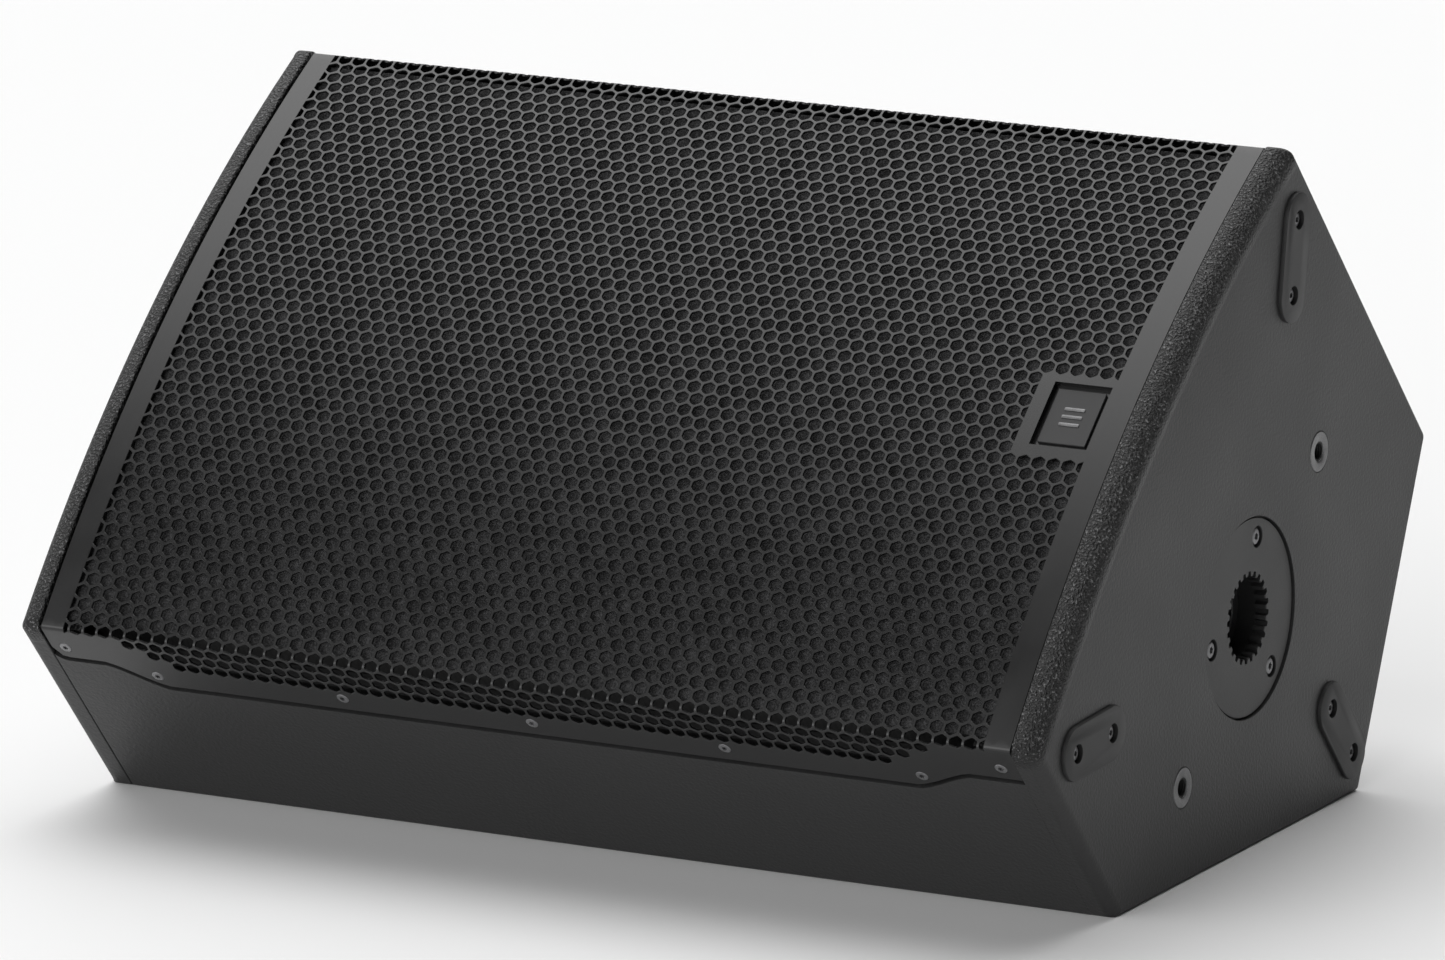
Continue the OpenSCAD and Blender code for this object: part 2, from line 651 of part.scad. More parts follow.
// ---- Horn and compression driver ----------------------------------------
HORN_DEPTH = 104;
HORN_LIP = 5;
HORN_BACK = 6;
DRIVER_R = 44;
THROAT_R = 12.7;
HORN_MOUTH = 150;
MOUTH_ROUND = 20;
module horn_screw_sites() {
    for (x = [-1, 1]) for (y = [-1, 1]) translate([x * (horn_w / 2 - 9), y * (horn_w / 2 - 9), 0]) children();
}
// The straight flare from the round throat to the rounded square mouth.
module horn_flare(extra) {
    mouth = HORN_MOUTH / 2 - MOUTH_ROUND;
    hull() {
        translate([0, 0, -HORN_DEPTH]) cylinder(h = 1, r = THROAT_R + extra, $fn = 32);
        for (x = [-1, 1]) for (y = [-1, 1])
            translate([x * mouth, y * mouth, -1]) cylinder(h = 1, r = MOUTH_ROUND + extra, $fn = 32);
    }
}
module horn() {
    color("#1a1a1a") horn_frame_at() difference() {
        union() {
            translate([-horn_w / 2, -horn_w / 2, 0]) cube([horn_w, horn_w, HORN_LIP]);
            horn_flare(3);
            translate([0, 0, -HORN_DEPTH - HORN_BACK]) cylinder(h = HORN_BACK + 2, r = DRIVER_R);
        }
        horn_flare(0);
        translate([-HORN_MOUTH / 2, -HORN_MOUTH / 2, -0.5]) cube([HORN_MOUTH, HORN_MOUTH, HORN_LIP + 1]);
        translate([0, 0, -HORN_DEPTH - 7]) cylinder(h = 8, r = THROAT_R);
        translate([0, 0, -HORN_DEPTH - 7]) driver_bolt_sites() cylinder(h = 7, d = 5.2, $fn = 24);
        horn_screw_sites() translate([0, 0, -1]) cylinder(h = 10, d = 4.5, $fn = 24);
    }
}
module horn_screws() {
    color("#55585c") horn_frame_at() horn_screw_sites() translate([0, 0, HORN_LIP]) pan_screw(8, 2.4, 2.9, HORN_LIP + 13);
}
DRIVER_Z = -HORN_DEPTH - HORN_BACK;
module driver_body() {
    color("#2a2c2e") horn_frame_at() translate([0, 0, DRIVER_Z]) difference() {
        translate([0, 0, -14]) cylinder(h = 14, r = DRIVER_R);
        translate([0, 0, -15]) cylinder(h = 16, r = THROAT_R);
        translate([0, 0, -15]) cylinder(h = 9, r = 34);
        driver_bolt_sites() translate([0, 0, -15]) cylinder(h = 16, d = 5.4, $fn = 24);
    }
}
module driver_bolt_sites() {
    for (side = [-1, 1]) translate([side * 38.1, 0, 0]) children();
}
module driver_magnet_cover() {
    color("#1e1f20") horn_frame_at() translate([0, 0, DRIVER_Z - 14]) difference() {
        union() {
            translate([0, 0, -18]) cylinder(h = 18, r = DRIVER_R);
            translate([0, 0, -34]) cylinder(h = 17, r1 = 28, r2 = 32);
        }
        translate([0, 0, -31]) cylinder(h = 32, r = 24);
        driver_bolt_sites() translate([0, 0, -19]) cylinder(h = 20, d = 5.4, $fn = 24);
    }
}
DOME_R = 33.3;
DOME_RISE = 26;
// A domed foil with a flat ring around it, which is its suspension.
module driver_diaphragm() {
    foil = 0.3;
    edge = sqrt(DOME_R * DOME_R - DOME_RISE * DOME_RISE);
    color("#9a9ca0") horn_frame_at() translate([0, 0, DRIVER_Z - 9]) rotate_extrude() union() {
        intersection() {
            translate([0, DOME_RISE]) difference() {
                circle(r = DOME_R);
                circle(r = DOME_R - foil);
            }
            translate([0, -10]) square([edge, 10]);
        }
        translate([edge - foil, -foil]) square([33.6 - edge, foil]);
    }
}
module driver_bolts() {
    color("#777777") horn_frame_at() translate([0, 0, DRIVER_Z - 32]) driver_bolt_sites() {
        cylinder(h = 36, d = 5, $fn = 32);
        translate([0, 0, -3.5]) cylinder(h = 3.5 + EPS, d = 8.5, $fn = 6);
    }
}
module port_tubes() {
    color("#1d1d1d") port_sites() difference() {
        union() {
            translate([0, 0, -port_len]) cylinder(h = port_len + 1, d = port_d + 2 * PORT_WALL - 0.1);
            cylinder(h = 3, d = port_d + 14);
        }
        translate([0, 0, -port_len - 1]) cylinder(h = port_len + 6, d = port_d);
    }
}

// ---- Input plate ---------------------------------------------------------
module plate_screw_sites() {
    for (x = [-1, 1]) for (y = [-1, 1]) translate([x * (PLATE_W / 2 - 7), y * (PLATE_H / 2 - 7), 0]) children();
    for (y = [-1, 1]) translate([0, y * (PLATE_H / 2 - 7), 0]) children();
}
SOCKET_XS = [-42, 0];
SOCKET_D = 24;
SWITCH_X = 42;
module socket_sites() {
    for (x = SOCKET_XS) translate([x, 0, -PLATE_DEPTH + PLATE_WALL]) children();
}
module input_plate() {
    inner_w = PLATE_W - 34;
    inner_h = PLATE_H - 34;
    color("#222222") on_plate() difference() {
        union() {
            translate([-PLATE_W / 2, -PLATE_H / 2, 0]) cube([PLATE_W, PLATE_H, 2.5]);
            translate([-inner_w / 2 - 3, -inner_h / 2 - 3, -PLATE_DEPTH]) cube([inner_w + 6, inner_h + 6, PLATE_DEPTH + 1]);
        }
        translate([-inner_w / 2, -inner_h / 2, -PLATE_DEPTH + PLATE_WALL]) cube([inner_w, inner_h, PLATE_DEPTH + 4]);
        plate_screw_sites() translate([0, 0, -1]) cylinder(h = 5, d = 4, $fn = 24);
        socket_sites() translate([0, 0, -10]) cylinder(h = 20, d = SOCKET_D);
        translate([SWITCH_X, 0, -PLATE_DEPTH]) cube([11, 7, 14], center = true);
    }
}
module input_plate_screws() {
    color("#5a5a5a") on_plate() plate_screw_sites() translate([0, 0, 2.5]) pan_screw(7.2, 2, 2.4, 12);
}
// A round twist-lock loudspeaker socket with its square flange.
module loop_socket() {
    difference() {
        union() {
            translate([0, 0, 1.2]) cube([26, 31, 2.4], center = true);
            translate([0, 0, -24]) cylinder(h = 27, d = SOCKET_D - 0.3);
        }
        difference() {
            translate([0, 0, -18]) cylinder(h = 24, d = 20.5);
            translate([0, 0, -19]) cylinder(h = 21, d = 9);
        }
        for (turn = [45, 225]) rotate([0, 0, turn]) translate([9.6, 0, -6]) cube([3, 4, 20], center = true);
    }
}
module loop_sockets() {
    color("#1b2a3a") on_plate() socket_sites() loop_socket();
}
SWITCH_TRAVEL = 3;
module mode_switch_body() {
    color("#2a2a2a") on_plate() translate([SWITCH_X, 0, -PLATE_DEPTH]) difference() {
        translate([0, 0, -6]) cube([22, 14, 12], center = true);
        translate([0, 0, -3]) cube([9.4, 5.6, 8], center = true);
    }
}
module mode_switch_slider() {
    color("#c03030") on_plate() translate([SWITCH_X - SWITCH_TRAVEL / 2, 0, -PLATE_DEPTH]) union() {
        translate([0, 0, -4.2]) cube([6, 5, 4], center = true);
        translate([0, 0, 0]) cube([3.4, 4.6, 9], center = true);
    }
}

// ---- Crossover, wiring and lining ---------------------------------------
BOARD = [150, 100, 1.6];
// The crossover board stands on spacers on the inside of the floor face.
module on_board() {
    translate([60, 20, panel_t + 12]) children();
}
module crossover_board() {
    color("#2f5d3a") on_board() difference() {
        translate([-BOARD[0] / 2, -BOARD[1] / 2, 0]) cube(BOARD);
        board_holes() translate([0, 0, -1]) cylinder(h = 4, d = 3.6, $fn = 24);
    }
}
module board_holes() {
    for (x = [-1, 1]) for (y = [-1, 1]) translate([x * 68, y * 43, 0]) children();
}
module crossover_spacers() {
    color("#9a9a9a") on_board() board_holes() {
        translate([0, 0, -12]) cylinder(h = 12, d = 8, $fn = 32);
        translate([0, 0, -1]) cylinder(h = 3.6, d = 3.4, $fn = 32);
        translate([0, 0, BOARD[2]]) cylinder(h = 2, d = 6, $fn = 6);
    }
}
module crossover_coils() {
    color("#a86a2e") on_board() translate([0, 0, BOARD[2]]) {
        translate([-44, 16, 0]) ring(23, 9, 0, 22);
        translate([10, 18, 0]) ring(18, 8, 0, 18);
        translate([50, -18, 0]) ring(13, 5, 0, 15);
    }
}
module crossover_capacitors() {
    color("#30507a") on_board() translate([0, 0, BOARD[2]]) {
        translate([-46, -26, 9]) rotate([0, 90, 0]) cylinder(h = 40, r = 9, center = true, $fn = 48);
        translate([4, -26, 7.5]) rotate([0, 90, 0]) cylinder(h = 34, r = 7.5, center = true, $fn = 48);
        translate([46, 16, 7.5]) rotate([90, 0, 0]) cylinder(h = 34, r = 7.5, center = true, $fn = 48);
    }
}
module crossover_resistors() {
    color("#e2ded4") on_board() translate([0, 0, BOARD[2]]) for (i = [0 : 2])
        translate([-16 + i * 9 - 10, -8, 0]) translate([0, 0, 4]) cube([8, 9, 8], center = true);
}
WIRE_R = 1.8;
// Round stations of the two cable runs inside the cabinet, chosen by hand.
LOW_RUN = [[110, 55, 30.6], [126, 62, 50], [140, 66, 80], [150, 60, 105], [156, 46, 124]];
HIGH_RUN = [[-18, 20, 31], [-22, 21, 52], [-46, 25, 54], [-100, 40, 40], [-150, 52, 60], [-176, 60, 90]];
module wire(stations) {
    for (i = [0 : len(stations) - 2]) hull() for (k = [0, 1])
        translate(stations[i + k]) sphere(r = WIRE_R, $fn = 16);
}
module internal_wiring() {
    color("#b03030") wire(LOW_RUN);
    color("#b03030") wire(HIGH_RUN);
}
BLANKET_T = 18;
BLANKET_UP = 90;
// Wadding against the inside of the upper rear panel, on the woofer's side.
module damping_blanket() {
    slope = BLANKET_UP * along(rear_upper_angle);
    low = inset(3, panel_t + 0.5) - 40 * along(rear_upper_angle);
    thick = (BLANKET_T - 0.5) * inward(along(rear_upper_angle));
    color("#c9c3b4") section([low - slope, low, low + thick, low - slope + thick], 0, INNER_X - 24);
}

// ---- Handle --------------------------------------------------------------
HANDLE_L = 140;
HANDLE_H = 84;
HANDLE_LIP = 3;
HANDLE_DEPTH = 46;
handle_y = 145;
handle_z = 172;
module handle_screw_sites() {
    for (x = [-1, 0, 1]) for (y = [-1, 1])
        translate([x * (HANDLE_L / 2 + 6), y * (HANDLE_H / 2 + 6), 0]) children();
}
module handle_cup() {
    wall = 3;
    color("#202020") on_left(handle_y, handle_z) difference() {
        union() {
            translate([-HANDLE_L / 2 - 13, -HANDLE_H / 2 - 13, -HANDLE_LIP]) cube([HANDLE_L + 26, HANDLE_H + 26, HANDLE_LIP]);
            translate([-HANDLE_L / 2 + 0.3, -HANDLE_H / 2 + 0.3, -HANDLE_DEPTH]) cube([HANDLE_L - 0.6, HANDLE_H - 0.6, HANDLE_DEPTH]);
        }
        translate([-HANDLE_L / 2 + wall, -HANDLE_H / 2 + wall, -HANDLE_DEPTH + wall])
            cube([HANDLE_L - 2 * wall, HANDLE_H - 2 * wall, HANDLE_DEPTH + 4]);
        handle_screw_sites() translate([0, 0, -5]) cylinder(h = 8, d = 4, $fn = 24);
        handle_screw_sites() translate([0, 0, -1.9]) cylinder(h = 4, d = 9, $fn = 24);
    }
}
module handle_bar() {
    grip = 22;
    color("#1a1a1a") on_left(handle_y, handle_z) translate([0, 0, -grip / 2 - 1]) rotate([0, 90, 0])
        cylinder(h = HANDLE_L - 6, d = grip, center = true);
}
module handle_screws() {
    color("#5a5a5a") on_left(handle_y, handle_z) handle_screw_sites() translate([0, 0, -1.9]) pan_screw(7.6, 1.7, 3, 11);
}

right_end_panel();
left_end_panel();
lower_front_panel();
floor_panel();
rear_panel();
upper_rear_panel();
baffle();
baffle_cleats();
centre_brace();
grille();
grille_foam();
grille_screws();
badge_plate();
pole_cup();
pole_cup_screws();
rigging_inserts();
end_feet();
end_foot_screws();
woofer_basket();
woofer_gasket();
woofer_surround();
woofer_cone();
woofer_dust_cap();
woofer_spider();
voice_coil();
magnet_top_plate();
magnet_ring();
magnet_back_plate();
woofer_screws();
horn();
horn_screws();
driver_body();
driver_magnet_cover();
driver_diaphragm();
driver_bolts();
port_tubes();
input_plate();
input_plate_screws();
loop_sockets();
mode_switch_body();
mode_switch_slider();
crossover_board();
crossover_coils();
crossover_capacitors();
crossover_resistors();
crossover_spacers();
internal_wiring();
damping_blanket();
handle_cup();
handle_bar();
handle_screws();
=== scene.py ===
"""Looks of a stage monitor wedge: painted plywood cabinet, perforated steel grille, fittings.

Lengths in the modelling code are millimetres; meshes are scaled to metres as they are made.
"""

import json
import math

import bmesh
import bpy
from mathutils import Matrix, Vector


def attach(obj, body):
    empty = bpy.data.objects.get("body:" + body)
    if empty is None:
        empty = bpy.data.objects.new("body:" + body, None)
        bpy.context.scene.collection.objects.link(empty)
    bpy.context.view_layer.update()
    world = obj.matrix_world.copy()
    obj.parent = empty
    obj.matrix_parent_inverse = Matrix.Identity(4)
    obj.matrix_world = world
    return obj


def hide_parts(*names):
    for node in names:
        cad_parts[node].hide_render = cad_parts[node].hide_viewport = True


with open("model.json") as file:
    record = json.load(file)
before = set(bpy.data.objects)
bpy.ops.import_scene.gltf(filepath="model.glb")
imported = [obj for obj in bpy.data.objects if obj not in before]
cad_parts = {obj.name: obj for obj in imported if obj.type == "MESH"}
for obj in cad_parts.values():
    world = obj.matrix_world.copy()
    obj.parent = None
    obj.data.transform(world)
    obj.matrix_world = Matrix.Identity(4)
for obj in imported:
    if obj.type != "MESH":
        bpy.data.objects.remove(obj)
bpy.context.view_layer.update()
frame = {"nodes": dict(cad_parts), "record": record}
MM = 0.001

# ---- Camera ----
CAMERA_AT = (2.9074, -5.3282, 1.6014)
CAMERA_TURN = (1.339749, 0.007025, 0.498560)
CAMERA_LENS = 283.35
SENSOR = 36.0


def make_camera():
    data = bpy.data.cameras.new("camera")
    data.lens = CAMERA_LENS
    data.sensor_width = SENSOR
    data.clip_end = 100
    camera = bpy.data.objects.new("camera", data)
    camera.location = CAMERA_AT
    camera.rotation_euler = CAMERA_TURN
    bpy.context.scene.collection.objects.link(camera)
    bpy.context.scene.camera = camera


make_camera()

# ---- Cross-section of the cabinet ----
BODY_W = 623.0
PANEL_T = 15.0
FLOOR_LEN = 298.0
FRONT_LEN = 146.8
FRONT_ANGLE = 130.45
FACE_CHORD = 404.0
FACE_ANGLE = 41.36
UPPER_LEN = 260.9
UPPER_ANGLE = -48.37
RIM_RISE = 20.25
HALF_W = BODY_W / 2
INNER_X = HALF_W - PANEL_T


def along(angle):
    return Vector((math.cos(math.radians(angle)), math.sin(math.radians(angle))))


def inward(v):
    return Vector((v.y, -v.x))


def cross(a, b):
    return a.x * b.y - a.y * b.x


def meet(p, v, q, w):
    """Meeting point of two lines, each a point and a direction."""
    return p + v * (cross(q - p, w) / cross(v, w))


A = Vector((-FLOOR_LEN / 2, 0))
B = A + along(FRONT_ANGLE) * FRONT_LEN
C = B + along(FACE_ANGLE) * FACE_CHORD
D = C + along(UPPER_ANGLE) * UPPER_LEN
E = Vector((FLOOR_LEN / 2, 0))
CORNERS = [A, B, C, D, E]
REAR_ANGLE = math.degrees(math.atan2((E - D).y, (E - D).x))
FACE_MID = (B + C) / 2
RIM_R = ((FACE_CHORD / 2) ** 2 + RIM_RISE ** 2) / (2 * RIM_RISE)
RIM_CENTRE = FACE_MID - along(FACE_ANGLE + 90) * (RIM_R - RIM_RISE)
GRILLE_T = 1.2
GRILLE_SINK = 1.2
GRILLE_R = RIM_R - GRILLE_SINK
LEFT_GAP, RIGHT_GAP = 1.7, 0.06
GRILLE_X = INNER_X - LEFT_GAP
GRILLE_RIGHT = INNER_X - RIGHT_GAP


def inset(i, depth):
    """Corner i of the cross-section with its two faces moved inward."""
    p, q, r = CORNERS[i - 1], CORNERS[i], CORNERS[(i + 1) % 5]
    v, w = (q - p).normalized(), (r - q).normalized()
    return meet(q + inward(v) * depth, v, q + inward(w) * depth, w)


def rounded(p, q, r, radius, steps=8):
    """Points of a round corner at q, from the side of p to the side of r."""
    v, w = (p - q).normalized(), (r - q).normalized()
    half = math.acos(max(-1, min(1, v.dot(w)))) / 2
    centre = q + (v + w).normalized() * (radius / math.sin(half))
    first = q + v * (radius / math.tan(half)) - centre
    start = math.atan2(first.y, first.x)
    turn = math.pi - 2 * half
    if cross(v, w) > 0:
        turn = -turn
    turns = [start + turn * i / steps for i in range(steps + 1)]
    return [centre + radius * Vector((math.cos(t), math.sin(t))) for t in turns]


def local_frame(x_axis, y_axis, z_axis, origin):
    m = Matrix.Identity(4)
    for column, axis in enumerate((x_axis, y_axis, z_axis, origin)):
        for row in range(3):
            m[row][column] = axis[row]
    return m


def face_frame(corner, angle, flip=False):
    """x along the cabinet, y up a face from its corner, z out of the face."""
    v = along(angle)
    n = -inward(v)
    s = -1 if flip else 1
    return local_frame((1, 0, 0), (0, s * v.x, s * v.y), (0, n.x, n.y), (0, corner.x, corner.y))


def turned(angle):
    return Matrix.Rotation(math.radians(angle), 4, "Z")


def slid(x, y=0.0, z=0.0):
    return Matrix.Translation((x, y, z))


ON_FRONT = face_frame(A, FRONT_ANGLE)
ON_UPPER_FLANGE = face_frame(C + along(UPPER_ANGLE) * FRONT_LEN, UPPER_ANGLE, flip=True)
PLATE_X = 62.0
PLATE_DOWN = 96.0
ON_PLATE = face_frame(D, REAR_ANGLE) @ slid(PLATE_X, PLATE_DOWN)


def on_end(side, y, z):
    """x is depth from the floor face's front edge, y is height, z is out of the end."""
    return local_frame((0, 1, 0), (0, 0, 1), (side, 0, 0), (side * HALF_W, A.x + y, z))


# ---- Mesh helpers ----
BIG_FACE = 300.0


def make_object(name, bm, slot, replaces=(), finish=None, body="cabinet", smooth=35, place=None):
    """Turns a mesh in millimetres into a piece that rides on a body and stands for CAD nodes."""
    if place is not None:
        bmesh.ops.transform(bm, matrix=place, verts=bm.verts)
    bmesh.ops.recalc_face_normals(bm, faces=bm.faces)
    limit = math.radians(smooth)
    for face in bm.faces:
        face.smooth = True
    for edge in bm.edges:
        faces = edge.link_faces
        angle = edge.calc_face_angle(0)
        big = any(f.calc_area() > BIG_FACE for f in faces)
        edge.smooth = angle < limit and not (big and angle > math.radians(1))
    bmesh.ops.scale(bm, vec=(MM, MM, MM), verts=bm.verts)
    mesh = bpy.data.meshes.new(name)
    bm.to_mesh(mesh)
    bm.free()
    obj = bpy.data.objects.new(name, mesh)
    bpy.context.scene.collection.objects.link(obj)
    mesh.materials.append(MATERIALS[finish or slot])
    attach(obj, body)
    if replaces:
        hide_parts(*replaces)
    return obj


def stack(bm, loops):
    """Joins closed loops of equally many points into a skin, with flat caps."""
    rings = [[bm.verts.new(p) for p in loop] for loop in loops]
    for low, high in zip(rings, rings[1:]):
        bridge(bm, low, high)
    bm.faces.new(rings[0][::-1])
    bm.faces.new(rings[-1])
    return bm


def bridge(bm, low, high):
    """Quads between two rings of equal count."""
    for i in range(len(low)):
        k = (i + 1) % len(low)
        bm.faces.new((low[i], low[k], high[k], high[i]))


def skin(loops):
    return stack(bmesh.new(), loops)


def ring_points(radius, z, segments, inner=None, teeth=0):
    """A circle, or a toothed circle between two radii."""
    points = []
    for i in range(segments):
        turn = 2 * math.pi * i / segments
        low = teeth and (i * teeth * 2 // segments) % 2
        r = inner if low else radius
        points.append((r * math.cos(turn), r * math.sin(turn), z))
    return points


def lathe(profile, segments=64):
    return skin([ring_points(r, z, segments) for r, z in profile])


def oblong(width, height, radius, z, steps=6):
    """A rectangle with round corners."""
    points = []
    for k, (sx, sy) in enumerate(((1, 1), (-1, 1), (-1, -1), (1, -1))):
        cx, cy = sx * (width / 2 - radius), sy * (height / 2 - radius)
        for i in range(steps + 1):
            a = math.radians(90 * k + 90 * i / steps)
            points.append((cx + radius * math.cos(a), cy + radius * math.sin(a), z))
    return points


def oblongs(rows, steps=6):
    """A closed form through oblongs, each a width, a height, a corner radius and a level."""
    return skin([oblong(*row, steps) for row in rows])


def joined(parts):
    """One mesh from (mesh, place) pairs."""
    out = bmesh.new()
    for bm, place in parts:
        copy = bm.copy()
        bmesh.ops.transform(copy, matrix=place, verts=copy.verts)
        if place.determinant() < 0:
            bmesh.ops.reverse_faces(copy, faces=copy.faces)
        mesh = bpy.data.meshes.new("part")
        copy.to_mesh(mesh)
        copy.free()
        out.from_mesh(mesh)
        bpy.data.meshes.remove(mesh)
    return out


def temp_object(bm):
    bmesh.ops.recalc_face_normals(bm, faces=bm.faces)
    mesh = bpy.data.meshes.new("tool")
    bm.to_mesh(mesh)
    obj = bpy.data.objects.new("tool", mesh)
    bpy.context.scene.collection.objects.link(obj)
    return obj


def cut(bm, tool):
    """The mesh less another closed mesh."""
    body, cutter = temp_object(bm), temp_object(tool)
    modifier = body.modifiers.new("cut", "BOOLEAN")
    modifier.operation = "DIFFERENCE"
    modifier.solver = "EXACT"
    modifier.object = cutter
    depsgraph = bpy.context.evaluated_depsgraph_get()
    result = bmesh.new()
    result.from_mesh(body.evaluated_get(depsgraph).to_mesh())
    bm.free()
    tool.free()
    for obj in (body, cutter):
        mesh = obj.data
        bpy.data.objects.remove(obj)
        bpy.data.meshes.remove(mesh)
    return result


def disc_tool(radius, top, bottom, segments=64):
    return lathe([(radius, bottom), (radius, top)], segments)


def box_tool(width, height, top, bottom, radius):
    return oblongs([(width, height, radius, bottom), (width, height, radius, top)], 3)


# ---- Materials ----
NOISE, CELLS, WAVE = "TexNoise", "TexVoronoi", "TexWave"
TONE_STOPS = (0.35, 0.68)
GRAIN_SHARE = 0.45
ROUGH_VARY = 0.08


def add_node(owner, kind, inputs=(), **settings):
    """A shader node of a material or world, its settings, and the value or source of its inputs."""
    node = owner.node_tree.nodes.new("ShaderNode" + kind)
    for key, value in settings.items():
        setattr(node, key, value)
    for key, value in dict(inputs).items():
        if isinstance(value, bpy.types.NodeSocket):
            owner.node_tree.links.new(value, node.inputs[key])
        else:
            node.inputs[key].default_value = value
    return node


def add_bump(mat, height, strength, distance):
    """Relief on the material's surface, over any relief that it has already."""
    normal = mat.node_tree.nodes["Principled BSDF"].inputs["Normal"]
    inputs = {"Strength": strength, "Distance": distance, "Height": height}
    if normal.links:
        inputs["Normal"] = normal.links[0].from_socket
    mat.node_tree.links.new(add_node(mat, "Bump", inputs).outputs["Normal"], normal)


def finish_material(name, color, rough, metal=0.0, spec=0.5, vary=0.25, vary_scale=60, grain=900,
                    bump=0.08, bump_size=0.0002, detail=3, kind=NOISE, stretch=(1, 1, 1), coat=0.0,
                    light=None, sheen=0.0):
    """A procedural finish: colour drift, grain in the surface and roughness that varies."""
    mat = bpy.data.materials.new(name)
    mat.use_nodes = True
    link = mat.node_tree.links.new
    shader = mat.node_tree.nodes["Principled BSDF"]
    shader.inputs["Metallic"].default_value = metal
    shader.inputs["Specular IOR Level"].default_value = spec
    shader.inputs["Coat Weight"].default_value = coat
    shader.inputs["Sheen Weight"].default_value = sheen
    where = add_node(mat, "TexCoord").outputs["Object"]
    place = add_node(mat, "Mapping", {"Scale": stretch, "Vector": where}).outputs["Vector"]
    drift = add_node(mat, NOISE, {"Scale": vary_scale, "Detail": 4, "Vector": place}).outputs["Fac"]
    inputs = {"Scale": grain, "Vector": place}
    if kind != CELLS:
        inputs["Detail"] = detail
    if kind == WAVE:
        inputs["Distortion"] = 2
    height = add_node(mat, kind, inputs).outputs["Distance" if kind == CELLS else "Fac"]
    blend = add_node(mat, "Mix", {0: GRAIN_SHARE, 2: drift, 3: height}, data_type="FLOAT")
    tone = add_node(mat, "ValToRGB", {"Fac": blend.outputs[0]})
    dark = [c * (1 - vary) for c in color]
    pale = light or [min(1, c * (1 + vary)) for c in color]
    for stop, spot, shade in zip(tone.color_ramp.elements, TONE_STOPS, (dark, pale)):
        stop.position = spot
        stop.color = (*shade, 1)
    link(tone.outputs["Color"], shader.inputs["Base Color"])
    ends = {"To Min": rough - ROUGH_VARY, "To Max": rough + ROUGH_VARY}
    gloss = add_node(mat, "MapRange", {"Value": drift, **ends})
    link(gloss.outputs["Result"], shader.inputs["Roughness"])
    add_bump(mat, height, bump, bump_size)
    return mat


